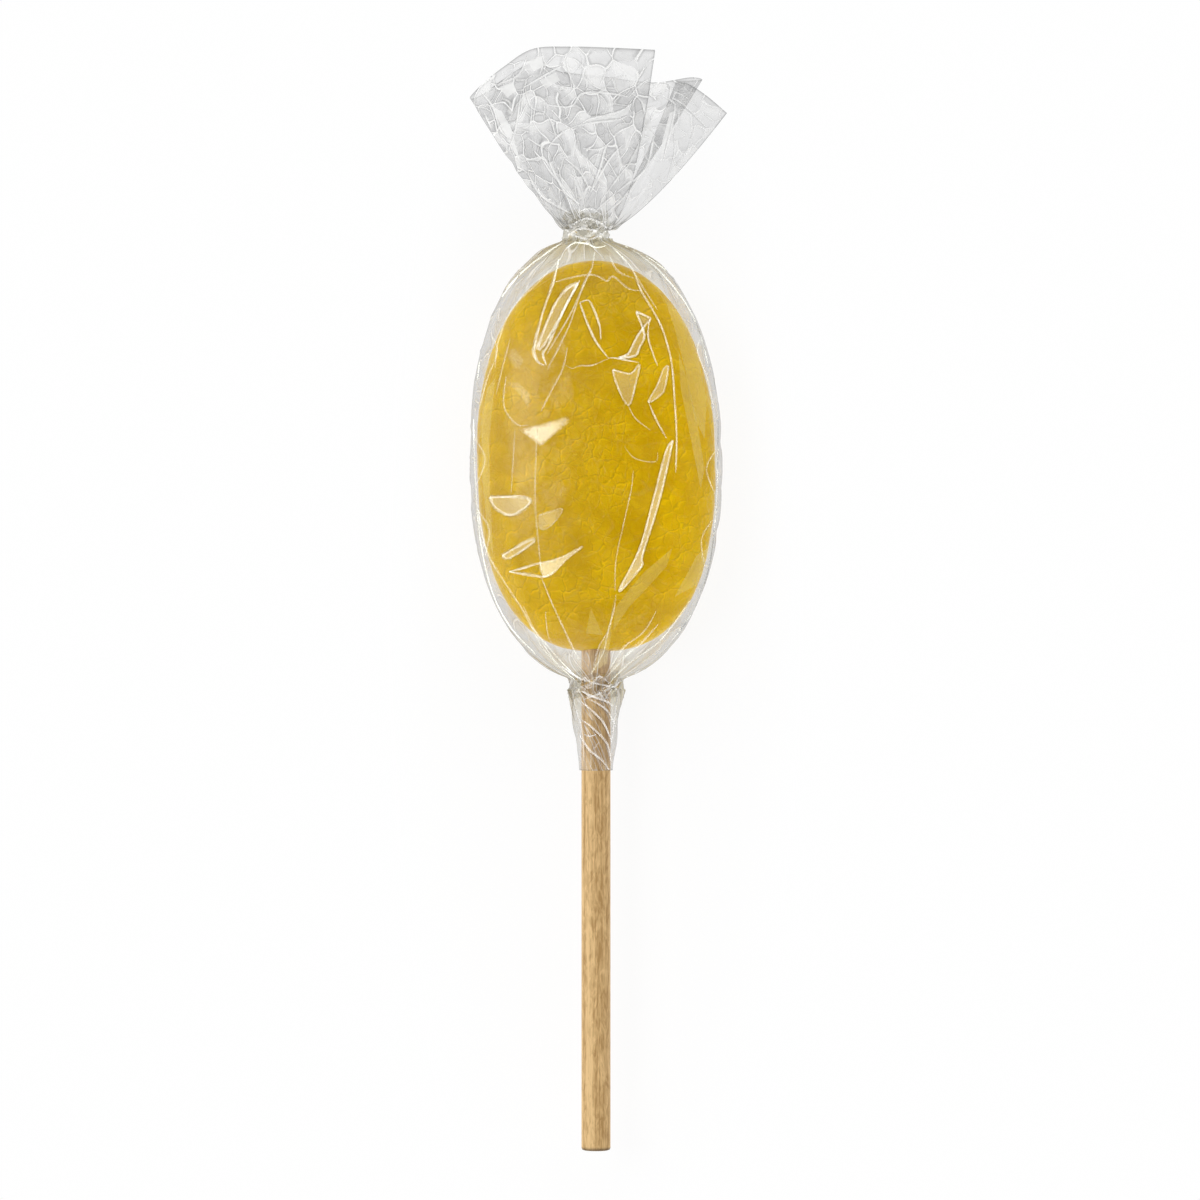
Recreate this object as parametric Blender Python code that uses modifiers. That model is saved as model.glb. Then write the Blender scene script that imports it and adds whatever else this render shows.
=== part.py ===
"""A wrapped lollipop: an oval boiled sweet on a wooden dowel, in a clear film twisted shut at both ends.

It lies on its back. X is the width, +Y runs from the dowel to the tuft of film, and +Z is up. The origin
is on the floor, at the middle of the flat spot that the wrapped sweet rests on. All sizes are in metres.
"""

import math

import bmesh
import bpy
from mathutils import Vector

# The dowel, a 6 mm rod of 150 mm
STICK_DIAMETER = 0.0060
STICK_LENGTH = 0.1500
STICK_END_Y = -0.1436
STICK_EDGE = 0.0005
STICK_SIDES = 40
AXIS_Z = 0.0126

# The boiled sweet
CANDY_WIDTH = 0.0497
CANDY_LENGTH = 0.0812
CANDY_THICKNESS = 0.0230
CANDY_LEAN = -0.013
CANDY_TOP_ROUNDNESS = 2.1
CANDY_BOTTOM_ROUNDNESS = 2.5
CANDY_FACE_ROUNDNESS = 2.5
CANDY_RIPPLE = 0.00012
CANDY_COLUMNS = 40
CANDY_ROWS = 20

# The gap between pieces that touch
GAP = 0.0003

# Edges sharper than this are shaded as edges, and the dowel's ends are the only ones rounded off
SHARP_DEG = 40
ROUNDED_DEG = 60

# The pouch of film round the sweet
POUCH_WIDTH = 0.0522
POUCH_THICKNESS = 0.0258
POUCH_WIDEST_Y = -0.0029
POUCH_UPPER_LENGTH = 0.0476
POUCH_LOWER_LENGTH = 0.0437
POUCH_UPPER_ROUNDNESS = 2.33
POUCH_LOWER_ROUNDNESS = 2.2
POUCH_FACE_ROUNDNESS = 2.6
POUCH_SECTION_ROUNDNESS = 2.5
POUCH_SHIFT_X = -0.0005
POUCH_SHIFT_LENGTH = 0.0300
POUCH_ROUND_BELOW = 0.0090
POUCH_FULL_OVER = 0.0190
POUCH_COLUMNS = 60
POUCH_ROWS = 22

# The upper twist, where the tuft starts
TWIST_X = -0.0016
TWIST_LOW_Y = 0.0440
TWIST_HIGH_Y = 0.0468
TWIST_WIDTH = 0.0100
TWIST_THICKNESS = 0.0074
TWIST_TURN = 0.0045
BUNCH_HEIGHT = 0.0056
BUNCH_SPREAD_LEFT = 0.0048
BUNCH_SPREAD_RIGHT = 0.0052
BUNCH_SPREAD_Z = 0.0022
BUNCH_DISH = 0.0030
BUNCH_EASE = 0.8
BUNCH_CAP_SCALES = (0.7, 0.35)
BUNCH_ROWS = 4

# The lower twist and the skirt that clings to the dowel
NECK_Y = -0.0484
NECK_WIDTH = 0.0108
NECK_THICKNESS = 0.0100
SKIRT_END_Y = -0.0650
SKIRT_END_DIAMETER = 0.0074
SKIRT_TURNS = 0.45
SKIRT_ROWS = 6
BORE_SPARE = 0.0040

# The gathers that run into each twist
GATHERS = 12
GATHER_AT_TWIST = 0.085
GATHER_AT_MIDDLE = 0.004
GATHER_REACH = 0.0150
GATHER_SKIRT_FADE = 0.8
GATHER_UNEVEN = 1.3
CROSS_GATHERS = 7
CROSS_PHASE = 0.7

# The tuft, a fan of film drawn through its rim: x, y and z of the rim from one free edge to the other
TUFT_THICKNESS = 0.0005
TUFT_COLUMNS = 64
TUFT_ROWS = 7
TUFT_ROOT = 0.06
TUFT_FLARE = 1.32
TUFT_PLEAT = 0.0005
TUFT_PLEATS = 9
TUFT_PLEAT_SWAY = 2.0
TUFT_SWAY_TURNS = 7.0
TUFT_PLEATED = 0.60
TUFT_PLEAT_FADE = 0.12
TUFT_PLEAT_FROM = 0.1
TUFT_PLEAT_RISE = 0.5
TUFT_START_DEG = 38
TUFT_SWEEP_DEG = 318
TUFT_RIM = (
    (0.0122, 0.0834, 0.0192),
    (0.0039, 0.0836, 0.0214),
    (-0.0054, 0.0838, 0.0220),
    (-0.0130, 0.0834, 0.0212),
    (-0.0188, 0.0801, 0.0192),
    (-0.0236, 0.0765, 0.0160),
    (-0.0261, 0.0741, 0.0124),
    (-0.0236, 0.0752, 0.0082),
    (-0.0141, 0.0817, 0.0052),
    (-0.0070, 0.0803, 0.0036),
    (0.0030, 0.0792, 0.0034),
    (0.0116, 0.0780, 0.0042),
    (0.0196, 0.0790, 0.0052),
    (0.0221, 0.0783, 0.0078),
    (0.0196, 0.0779, 0.0102),
    (0.0166, 0.0776, 0.0122),
    (0.0190, 0.0769, 0.0142),
    (0.0229, 0.0744, 0.0138),
    (0.0271, 0.0710, 0.0120),
)


def clear_scene():
    """Removes every object of the open file."""
    for obj in list(bpy.data.objects):
        bpy.data.objects.remove(obj, do_unlink=True)


def new_collection(name):
    """A collection linked to the scene."""
    collection = bpy.data.collections.new(name)
    bpy.context.scene.collection.children.link(collection)
    return collection


def material(name, colour, roughness, transmission=0.0, alpha=1.0):
    """A Principled material with one colour."""
    made = bpy.data.materials.new(name)
    made.use_nodes = True
    shader = made.node_tree.nodes["Principled BSDF"]
    shader.inputs["Base Color"].default_value = (*colour, 1.0)
    shader.inputs["Roughness"].default_value = roughness
    shader.inputs["Metallic"].default_value = 0.0
    shader.inputs["Transmission Weight"].default_value = transmission
    shader.inputs["Alpha"].default_value = alpha
    return made


def object_from(bm, name, collection, look=None):
    """Turns a bmesh into an object of the collection, with its faces pointing out and shaded smooth."""
    bmesh.ops.recalc_face_normals(bm, faces=bm.faces)
    mesh = bpy.data.meshes.new(name)
    bm.to_mesh(mesh)
    bm.free()
    mesh.shade_smooth()
    mesh.set_sharp_from_angle(angle=math.radians(SHARP_DEG))
    if look:
        mesh.materials.append(look)
    obj = bpy.data.objects.new(name, mesh)
    collection.objects.link(obj)
    return obj


def as_helper(obj):
    """Marks an object as a cutter or an operand that isn't part of the model."""
    obj.hide_render = True
    obj.display_type = "WIRE"
    return obj


def boolean(obj, operation, other):
    """Adds an exact Boolean modifier."""
    made = obj.modifiers.new(f"{operation.lower()}_{other.name}", "BOOLEAN")
    made.operation = operation
    made.solver = "EXACT"
    made.object = other


def signed_power(value, exponent):
    """A power that keeps the sign of its base."""
    return math.copysign(abs(value) ** exponent, value)


def smooth_step(t):
    """Eases from 0 to 1, flat at both ends."""
    t = min(1.0, max(0.0, t))
    return t * t * (3.0 - 2.0 * t)


def larger_of(a, b, sharpness=7.0):
    """The larger of two lengths, rounded where they cross."""
    return (a**sharpness + b**sharpness) ** (1.0 / sharpness)


def bulge(share, roundness):
    """Half-width of a superellipse at a share of its half-length, as a share of its greatest half-width."""
    return max(0.0, 1.0 - abs(share) ** roundness) ** (1.0 / roundness)


def curve_through(points, t):
    """A point of the Catmull-Rom curve through the points, for t from 0 to 1."""
    place = t * (len(points) - 1)
    index = min(int(place), len(points) - 2)
    part = place - index
    before = Vector(points[max(index - 1, 0)])
    start = Vector(points[index])
    end = Vector(points[index + 1])
    after = Vector(points[min(index + 2, len(points) - 1)])
    bend = 2.0 * before - 5.0 * start + 4.0 * end - after
    twist = 3.0 * start - before - 3.0 * end + after
    return 0.5 * (2.0 * start + (end - before) * part + bend * part**2 + twist * part**3)


def sweet_point(direction, grown):
    """Maps a point of the unit sphere onto the sweet, grown outward by a margin."""
    level = math.asin(max(-1.0, min(1.0, direction.z)))
    turn = math.atan2(direction.y, direction.x)
    roundness = CANDY_TOP_ROUNDNESS if direction.y > 0 else CANDY_BOTTOM_ROUNDNESS
    reach = math.cos(level) ** (2.0 / CANDY_FACE_ROUNDNESS)
    ripple = CANDY_RIPPLE * math.sin(3.0 * turn + 1.0) * math.sin(5.0 * level + 2.0 * turn)
    spare = grown if grown else ripple
    x = (CANDY_WIDTH / 2 + spare) * reach * signed_power(math.cos(turn), 2.0 / roundness)
    y = (CANDY_LENGTH / 2 + spare) * reach * signed_power(math.sin(turn), 2.0 / roundness)
    rise = signed_power(math.sin(level), 2.0 / CANDY_FACE_ROUNDNESS)
    z = AXIS_Z + (CANDY_THICKNESS / 2 + spare) * rise
    return Vector((x + CANDY_LEAN * y, y, z))


def build_sweet(name, collection, look=None, grown=0.0):
    """The oval sweet, a sphere eased into a pebble with fuller shoulders at the dowel's end."""
    bm = bmesh.new()
    bmesh.ops.create_uvsphere(bm, u_segments=CANDY_COLUMNS, v_segments=CANDY_ROWS, radius=1.0)
    for vert in bm.verts:
        vert.co = sweet_point(vert.co.normalized(), grown)
    return object_from(bm, name, collection, look)


def build_rod(name, collection, radius, low_y, high_y, look=None):
    """A round rod along Y, at the height of the dowel's axis."""
    bm = bmesh.new()
    bmesh.ops.create_cone(
        bm,
        cap_ends=True,
        segments=STICK_SIDES,
        radius1=radius,
        radius2=radius,
        depth=high_y - low_y,
    )
    rod = object_from(bm, name, collection, look)
    rod.rotation_euler = (math.radians(90), 0, 0)
    rod.location = (0, (low_y + high_y) / 2, AXIS_Z)
    return rod


def build_stick(collection, look):
    """The dowel, with both ends lightly rounded."""
    top = STICK_END_Y + STICK_LENGTH
    stick = build_rod("stick", collection, STICK_DIAMETER / 2, STICK_END_Y, top, look)
    edge = stick.modifiers.new("rounded_ends", "BEVEL")
    edge.width = STICK_EDGE
    edge.segments = 2
    edge.limit_method = "ANGLE"
    edge.angle_limit = math.radians(ROUNDED_DEG)
    return stick


def pouch_section(y):
    """Half-width, half-thickness and middle x of the pouch, the twists and the skirt at a height."""
    upward = y > POUCH_WIDEST_Y
    length = POUCH_UPPER_LENGTH if upward else POUCH_LOWER_LENGTH
    roundness = POUCH_UPPER_ROUNDNESS if upward else POUCH_LOWER_ROUNDNESS
    share = (y - POUCH_WIDEST_Y) / length
    wide = POUCH_WIDTH / 2 * bulge(share, roundness)
    thick = POUCH_THICKNESS / 2 * bulge(share, POUCH_FACE_ROUNDNESS)
    if upward:
        middle = POUCH_SHIFT_X * smooth_step(y / POUCH_SHIFT_LENGTH)
        middle += (TWIST_X - POUCH_SHIFT_X) * smooth_step((y - TWIST_LOW_Y) / TWIST_TURN + 1.0)
        return larger_of(wide, TWIST_WIDTH / 2), larger_of(thick, TWIST_THICKNESS / 2), middle
    along = (NECK_Y - y) / (NECK_Y - SKIRT_END_Y)
    eased = max(0.0, along)
    skirt_wide = NECK_WIDTH / 2 + (SKIRT_END_DIAMETER - NECK_WIDTH) / 2 * eased
    skirt_thick = NECK_THICKNESS / 2 + (SKIRT_END_DIAMETER - NECK_THICKNESS) / 2 * eased
    return larger_of(wide, skirt_wide), larger_of(thick, skirt_thick), 0.0


def gather_depth(y):
    """How deep the gathers are at a height, as a share of the section's size."""
    nearest = min(abs(TWIST_LOW_Y - y), abs(NECK_Y - y))
    depth = GATHER_AT_TWIST * math.exp(-((nearest / GATHER_REACH) ** 2) * 2.0)
    if y < NECK_Y:
        fade = (NECK_Y - y) / (NECK_Y - SKIRT_END_Y)
        depth = GATHER_AT_TWIST * (1.0 - GATHER_SKIRT_FADE * fade)
    return max(depth, GATHER_AT_MIDDLE)


def gathered(turn, y):
    """The gathers at an angle round the pouch, uneven as bunched film is, with a spiral in the skirt."""
    spin = SKIRT_TURNS * 2.0 * math.pi * max(0.0, NECK_Y - y) / (NECK_Y - SKIRT_END_Y)
    angle = turn + spin
    main = math.cos(GATHERS * angle + GATHER_UNEVEN * math.sin(2.0 * angle))
    cross = math.cos(CROSS_GATHERS * angle + CROSS_PHASE)
    return 1.0 + gather_depth(y) * 0.5 * (main + 0.5 * cross - 0.5)


def pouch_ring(y):
    """The closed outline of the film at a height, kept off the floor."""
    wide, thick, middle = pouch_section(y)
    inside = smooth_step((wide - POUCH_ROUND_BELOW) / (POUCH_FULL_OVER - POUCH_ROUND_BELOW))
    power = 2.0 / (2.0 + (POUCH_SECTION_ROUNDNESS - 2.0) * inside)
    ring = []
    for column in range(POUCH_COLUMNS):
        turn = 2.0 * math.pi * column / POUCH_COLUMNS
        swell = gathered(turn, y)
        x = middle + wide * swell * signed_power(math.cos(turn), power)
        z = AXIS_Z + thick * swell * signed_power(math.sin(turn), power)
        ring.append(Vector((x, y, max(z, 0.0))))
    return ring


def bunch_ring(along, scale, y):
    """The outline of the bunched film above the twist, where the tuft starts to open."""
    ring = []
    for column in range(POUCH_COLUMNS):
        turn = 2.0 * math.pi * column / POUCH_COLUMNS
        side = BUNCH_SPREAD_RIGHT if math.cos(turn) > 0 else BUNCH_SPREAD_LEFT
        wide = (TWIST_WIDTH / 2 + side * along) * scale
        thick = (TWIST_THICKNESS / 2 + BUNCH_SPREAD_Z * along) * scale
        swell = gathered(turn, TWIST_LOW_Y)
        x = TWIST_X + wide * swell * math.cos(turn)
        z = AXIS_Z + thick * swell * math.sin(turn)
        ring.append(Vector((x, y, z)))
    return ring


def film_rings():
    """The outlines of the film from the skirt's end up to the bunch, whose top is dished."""
    rings = []
    for row in range(SKIRT_ROWS):
        rings.append(pouch_ring(SKIRT_END_Y + (NECK_Y - SKIRT_END_Y) * row / SKIRT_ROWS))
    middle = (NECK_Y + TWIST_LOW_Y) / 2
    half = (TWIST_LOW_Y - NECK_Y) / 2
    for row in range(POUCH_ROWS + 1):
        rings.append(pouch_ring(middle - half * math.cos(math.pi * row / POUCH_ROWS)))
    for row in range(BUNCH_ROWS + 1):
        along = row / BUNCH_ROWS
        rings.append(bunch_ring(along**BUNCH_EASE, 1.0, TWIST_HIGH_Y + BUNCH_HEIGHT * along))
    for scale in BUNCH_CAP_SCALES:
        dish = BUNCH_DISH * (1.0 - scale)
        rings.append(bunch_ring(1.0, scale, TWIST_HIGH_Y + BUNCH_HEIGHT - dish))
    return rings


def loft(rings):
    """A closed body through rings of equal length, with a cap of triangles at each end."""
    bm = bmesh.new()
    rows = [[bm.verts.new(point) for point in ring] for ring in rings]
    count = len(rows[0])
    for low, high in zip(rows, rows[1:]):
        for column in range(count):
            after = (column + 1) % count
            bm.faces.new((low[column], low[after], high[after], high[column]))
    for row in (rows[0], rows[-1]):
        hub = bm.verts.new(sum((vert.co for vert in row), Vector()) / count)
        for column in range(count):
            bm.faces.new((row[column], row[(column + 1) % count], hub))
    return bm


def tuft_point(across, along):
    """A point of the tuft: across runs round the fan between its free edges, along from twist to rim."""
    rim = curve_through(TUFT_RIM, across)
    turn = math.radians(TUFT_START_DEG + TUFT_SWEEP_DEG * across)
    root = Vector((TWIST_X, TWIST_HIGH_Y, AXIS_Z))
    root.x += TWIST_WIDTH / 2 * math.cos(turn)
    root.z += TWIST_THICKNESS / 2 * math.sin(turn)
    share = TUFT_ROOT + (1.0 - TUFT_ROOT) * along
    x = root.x + (rim.x - root.x) * share
    y = root.y + (rim.y - root.y) * share**TUFT_FLARE
    z = root.z + (rim.z - root.z) * share
    sway = TUFT_PLEAT_SWAY * math.sin(TUFT_SWAY_TURNS * across)
    pleat = math.sin(2.0 * math.pi * TUFT_PLEATS * across + sway)
    fade = smooth_step((TUFT_PLEATED - across) / TUFT_PLEAT_FADE)
    fade *= smooth_step((share - TUFT_PLEAT_FROM) / TUFT_PLEAT_RISE)
    return Vector((x, y, z + TUFT_PLEAT * pleat * fade))


def build_tuft(collection):
    """The fan of film above the twist, one open sheet with thickness."""
    bm = bmesh.new()
    bmesh.ops.create_grid(bm, x_segments=TUFT_COLUMNS, y_segments=TUFT_ROWS, size=0.5)
    for vert in bm.verts:
        vert.co = tuft_point(vert.co.x + 0.5, vert.co.y + 0.5)
    tuft = as_helper(object_from(bm, "tuft", collection))
    sheet = tuft.modifiers.new("film", "SOLIDIFY")
    sheet.thickness = TUFT_THICKNESS
    sheet.offset = 0.0
    return tuft


def build_film(collection, helpers, look):
    """The wrapper in one piece: pouch, twists, skirt and tuft, hollow where the sweet and the dowel are."""
    film = object_from(loft(film_rings()), "film", collection, look)
    hollow = as_helper(build_sweet("sweet_hollow", helpers, grown=GAP))
    low = SKIRT_END_Y - BORE_SPARE
    bore = as_helper(build_rod("stick_hollow", helpers, STICK_DIAMETER / 2 + GAP, low, 0.0))
    boolean(film, "UNION", build_tuft(helpers))
    boolean(film, "DIFFERENCE", hollow)
    boolean(film, "DIFFERENCE", bore)
    return film


def build_candy(collection, helpers, look):
    """The boiled sweet with the socket that the dowel sits in."""
    candy = build_sweet("candy", collection, look)
    top = STICK_END_Y + STICK_LENGTH + GAP
    socket = build_rod("stick_socket", helpers, STICK_DIAMETER / 2 + GAP, -CANDY_LENGTH, top)
    boolean(candy, "DIFFERENCE", as_helper(socket))
    return candy


def main():
    """Builds the lollipop's three pieces."""
    clear_scene()
    lollipop = new_collection("lollipop")
    helpers = new_collection("helpers")
    sugar = material("yellow_sugar", (0.60, 0.37, 0.012), 0.12, transmission=0.3)
    wood = material("pale_wood", (0.60, 0.39, 0.17), 0.6)
    clear = material("clear_film", (0.80, 0.81, 0.82), 0.08, alpha=0.3)
    build_candy(lollipop, helpers, sugar)
    build_stick(lollipop, wood)
    build_film(lollipop, helpers, clear)


main()
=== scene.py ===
"""The looks of a wrapped lollipop: a cloudy yellow boiled sweet on a wooden dowel, in clear crinkled film.

The solids of the frame give the sizes. The film is a thin sheet here, with its pleats, facets and creases,
and the sweet inside it has its own uneven surface. All sizes are in metres unless a name ends
in PX, MM or DEG.
"""

import math

import bmesh
import bpy
import numpy as np
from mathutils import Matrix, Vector, noise
from mathutils.bvhtree import BVHTree
from mathutils.geometry import delaunay_2d_cdt


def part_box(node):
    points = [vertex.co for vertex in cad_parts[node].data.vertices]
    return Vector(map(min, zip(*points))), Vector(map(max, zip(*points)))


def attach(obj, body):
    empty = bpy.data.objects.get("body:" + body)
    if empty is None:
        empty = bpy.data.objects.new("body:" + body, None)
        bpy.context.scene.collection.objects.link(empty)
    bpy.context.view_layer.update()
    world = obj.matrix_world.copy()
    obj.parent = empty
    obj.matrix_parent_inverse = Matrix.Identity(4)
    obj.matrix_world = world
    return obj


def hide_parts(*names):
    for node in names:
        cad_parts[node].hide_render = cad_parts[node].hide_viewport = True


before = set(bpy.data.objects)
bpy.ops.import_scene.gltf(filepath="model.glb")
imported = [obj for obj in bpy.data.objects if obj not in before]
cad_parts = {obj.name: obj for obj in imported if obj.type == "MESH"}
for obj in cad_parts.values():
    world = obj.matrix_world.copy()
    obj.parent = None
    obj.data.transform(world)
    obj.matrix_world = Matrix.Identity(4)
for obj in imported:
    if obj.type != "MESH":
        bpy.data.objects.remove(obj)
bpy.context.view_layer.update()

CANDY_LOW, CANDY_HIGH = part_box("candy")
STICK_LOW, STICK_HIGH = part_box("stick")
FILM_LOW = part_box("film")[0]
AXIS_Z = (STICK_LOW.z + STICK_HIGH.z) / 2

# The photograph's frame: 29 of its pixels are one dowel wide, and one pixel lies over the origin
PIXEL = (STICK_HIGH.x - STICK_LOW.x) / 29
ORIGIN_PX = (596, 456)
FRAME_PX = 1200

# The sweet
CANDY_HALF_WIDTH = (CANDY_HIGH.x - CANDY_LOW.x) / 2
CANDY_HALF_LENGTH = CANDY_HIGH.y
CANDY_HALF_THICKNESS = CANDY_HIGH.z - AXIS_Z - 0.0001
CANDY_SUBDIVISIONS = 7
CANDY_LEAN = -0.013
CANDY_TOP_ROUNDNESS = 2.1
CANDY_BOTTOM_ROUNDNESS = 2.5
CANDY_FACE_ROUNDNESS = 2.5
CANDY_LUMP = 0.00022
CANDY_DIMPLE = 0.00010

# The pouch of film
POUCH_HALF_WIDTH = 0.0261
POUCH_HALF_THICKNESS = 0.0125
POUCH_WIDEST_Y = -0.0029
POUCH_UPPER_LENGTH = 0.0476
POUCH_LOWER_LENGTH = 0.0437
POUCH_UPPER_ROUNDNESS = 2.33
POUCH_LOWER_ROUNDNESS = 2.14
POUCH_FACE_ROUNDNESS = 2.6
POUCH_SECTION_ROUNDNESS = 2.5
# Half-widths from which the section flattens, and how near the middle height its underside starts
POUCH_FLATTENING = (0.009, 0.019)
POUCH_UNDER = 0.002
POUCH_SHIFT_X = -0.0005
POUCH_SHIFT_LENGTH = 0.0300
POUCH_GIRTH = 0.130
POUCH_CELL = 0.0058
POUCH_TOP_COLUMNS = 200
POUCH_BACK_COLUMNS = 36
POUCH_ROWS = 300
FILM_CLEARANCE = 0.00025
FLOOR_GAP = 0.0001
# The film clings to the sweet, and is duller, to the right and at the top
CLINGING_X = (-0.004, 0.004)
CLINGING_Y = (0.022, 0.032)
# How far the gathers reach from the upper twist, the tint of its film, and the gathers of the lower one
TOP_GATHER_REACH = 0.0055
TOP_TINT_REACH = 0.0034
NECK_GATHER_REACH = 0.0048
# Folds round the film: how many, and the seed of their places
TOP_GATHERS = (17, 3)
NECK_GATHERS = (15, 5)
SKIRT_FOLDS = (6, 8)
TUFT_PLEATS = (23, 21)
KNOT_FOLDS = (7, 41)
KNOT_CROSS_FOLDS = (9, 42)

# The twists that close the film
TWIST_X = -0.0016
TWIST_LOW_Y = 0.0440
TWIST_HIGH_Y = 0.0468
TWIST_HALF_WIDTH = 0.0050
TWIST_HALF_THICKNESS = 0.0037
TWIST_TURN = 0.0045
NECK_Y = -0.0484
NECK_HALF_WIDTH = 0.0052
NECK_HALF_THICKNESS = 0.0048
SKIRT_END_Y = FILM_LOW.y
SKIRT_HALF_WIDTH = 0.0034
SKIRT_TURNS = 0.30

# The tuft of film: its rim from one free edge round to the other, as in the solid
TUFT_RIM = (
    (0.0122, 0.0834, 0.0192),
    (0.0039, 0.0836, 0.0214),
    (-0.0054, 0.0838, 0.0220),
    (-0.0130, 0.0834, 0.0212),
    (-0.0188, 0.0801, 0.0192),
    (-0.0236, 0.0765, 0.0160),
    (-0.0261, 0.0741, 0.0124),
    (-0.0236, 0.0752, 0.0082),
    (-0.0141, 0.0817, 0.0052),
    (-0.0070, 0.0803, 0.0036),
    (0.0030, 0.0792, 0.0034),
    (0.0116, 0.0780, 0.0042),
    (0.0196, 0.0790, 0.0052),
    (0.0221, 0.0783, 0.0078),
    (0.0196, 0.0779, 0.0102),
    (0.0166, 0.0776, 0.0122),
    (0.0190, 0.0769, 0.0142),
    (0.0229, 0.0744, 0.0138),
    (0.0271, 0.0710, 0.0120),
)
TUFT_START_DEG = 38
TUFT_SWEEP_DEG = 318
TUFT_COLUMNS = 460
TUFT_ROWS = 140
TUFT_CUT_LENGTH = 0.036
TUFT_CELL = 0.0060
# Where the calmer flap on the right begins, in shares of the rim
TUFT_FLAP = (0.60, 0.72)

# Creases and facets, which lie on the film
PATH_SPACING = 0.0005
DROP_HEIGHT = 0.1
CREASE_TAPER = 6
CREASE_HALF_WIDTH = 0.00026
CREASE_GAP = 0.00014
CREASE_HEIGHT = 0.00004
CREASE_STEP = 0.0006
FACET_SPACING = 0.0008
FACET_FADE = 0.30
FACET_SOFT_EDGE = 0.0008
FACET_SHINE = 0.25
FACET_GAP = 0.00012
# Whiteness of the painted highlights on the tuft, and of the painted sheen where the film lies double
TUFT_GLINT_WHITENESS = 0.60
VEIL_PAINTED_SHEEN = 0.21
# Across a crease: place in half-widths, height, whiteness and painted shadow. The whiteness is partly
# whitened film and partly painted highlight
CREASE_PROFILE = (
    (-1.0, 0.0, 0.0, 0.0),
    (-0.7, 0.6, 0.7, 0.0),
    (0.0, 1.0, 1.0, 0.0),
    (0.7, 0.6, 0.7, 0.0),
    (1.0, 0.3, 0.0, 0.12),
    (1.5, 0.1, 0.0, 0.26),
    (2.0, 0.0, 0.0, 0.0),
)
# The knots, two tight twists of bunched film
COLLAR_COLUMNS = 180
COLLAR_ROWS = 40
COLLAR_TWIST = 1.9
TOP_KNOT = dict(middle_x=-0.0021, low_y=0.0440, high_y=0.0505, half_width=0.0050, half_thickness=0.0043)
LOW_KNOT = dict(middle_x=-0.0003, low_y=-0.0500, high_y=-0.0446, half_width=0.0056, half_thickness=0.0050)

# Glints on the film over the sweet: outline, share of the light that it shows and strength of its edge
GLINTS_PX = (
    (((578, 286), (568, 291), (557, 304), (550, 319), (544, 334), (539, 350), (544, 348),
      (559, 322), (568, 304)), 0.9, 1.0),
    (((636, 314), (650, 321), (646, 326), (637, 339), (628, 356), (619, 360), (635, 358),
      (639, 350), (644, 337)), 0.3, 0.9),
    (((613, 372), (616, 385), (628, 407), (635, 387), (639, 367), (630, 376)), 0.25, 0.7),
    (((668, 368), (665, 387), (661, 396), (648, 404), (657, 387), (663, 371)), 0.6, 0.6),
    (((491, 498), (496, 508), (507, 515), (517, 514), (531, 502), (515, 498)), 1.3, 0.9),
    (((540, 516), (542, 530), (554, 524), (563, 510), (550, 513)), 0.8, 0.3),
    (((503, 556), (511, 558), (535, 542), (531, 541), (517, 548)), 0.8, 0.8),
    (((540, 564), (544, 577), (554, 573), (568, 559), (583, 547), (561, 558)), 3.0, 0.4),
    (((672, 442), (665, 454), (653, 500), (639, 550), (619, 591), (641, 567), (642, 556),
      (657, 508), (667, 467)), 1.5, 0.8),
    (((519, 431), (528, 438), (541, 449), (554, 438), (572, 424), (568, 417), (539, 426)), 5.5, 0.0),
    (((505, 352), (512, 366), (520, 372), (524, 362), (516, 350)), 0.5, 0.0),
    (((508, 384), (520, 396), (529, 410), (531, 396), (519, 384)), 0.7, 0.0),
)
# Places over the sweet where the film lies double, drawn as a painted yellowish sheen
VEILS_PX = (
    ((672, 548), (663, 556), (644, 572), (628, 591), (615, 608), (613, 630), (616, 626),
     (628, 608), (666, 567)),
    ((709, 547), (696, 556), (674, 597), (696, 585), (705, 563)),
    ((614, 597), (609, 624), (592, 672), (607, 663), (611, 633)),
    ((591, 608), (586, 633), (603, 635)),
    ((664, 300), (674, 330), (684, 370), (694, 420), (704, 440), (706, 400), (698, 360), (686, 326)),
    ((678, 352), (680, 390), (690, 440), (700, 490), (704, 470), (696, 420), (686, 380)),
    ((482, 420), (483, 480), (489, 540), (494, 556), (491, 500), (490, 440), (496, 380), (488, 390)),
)
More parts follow.
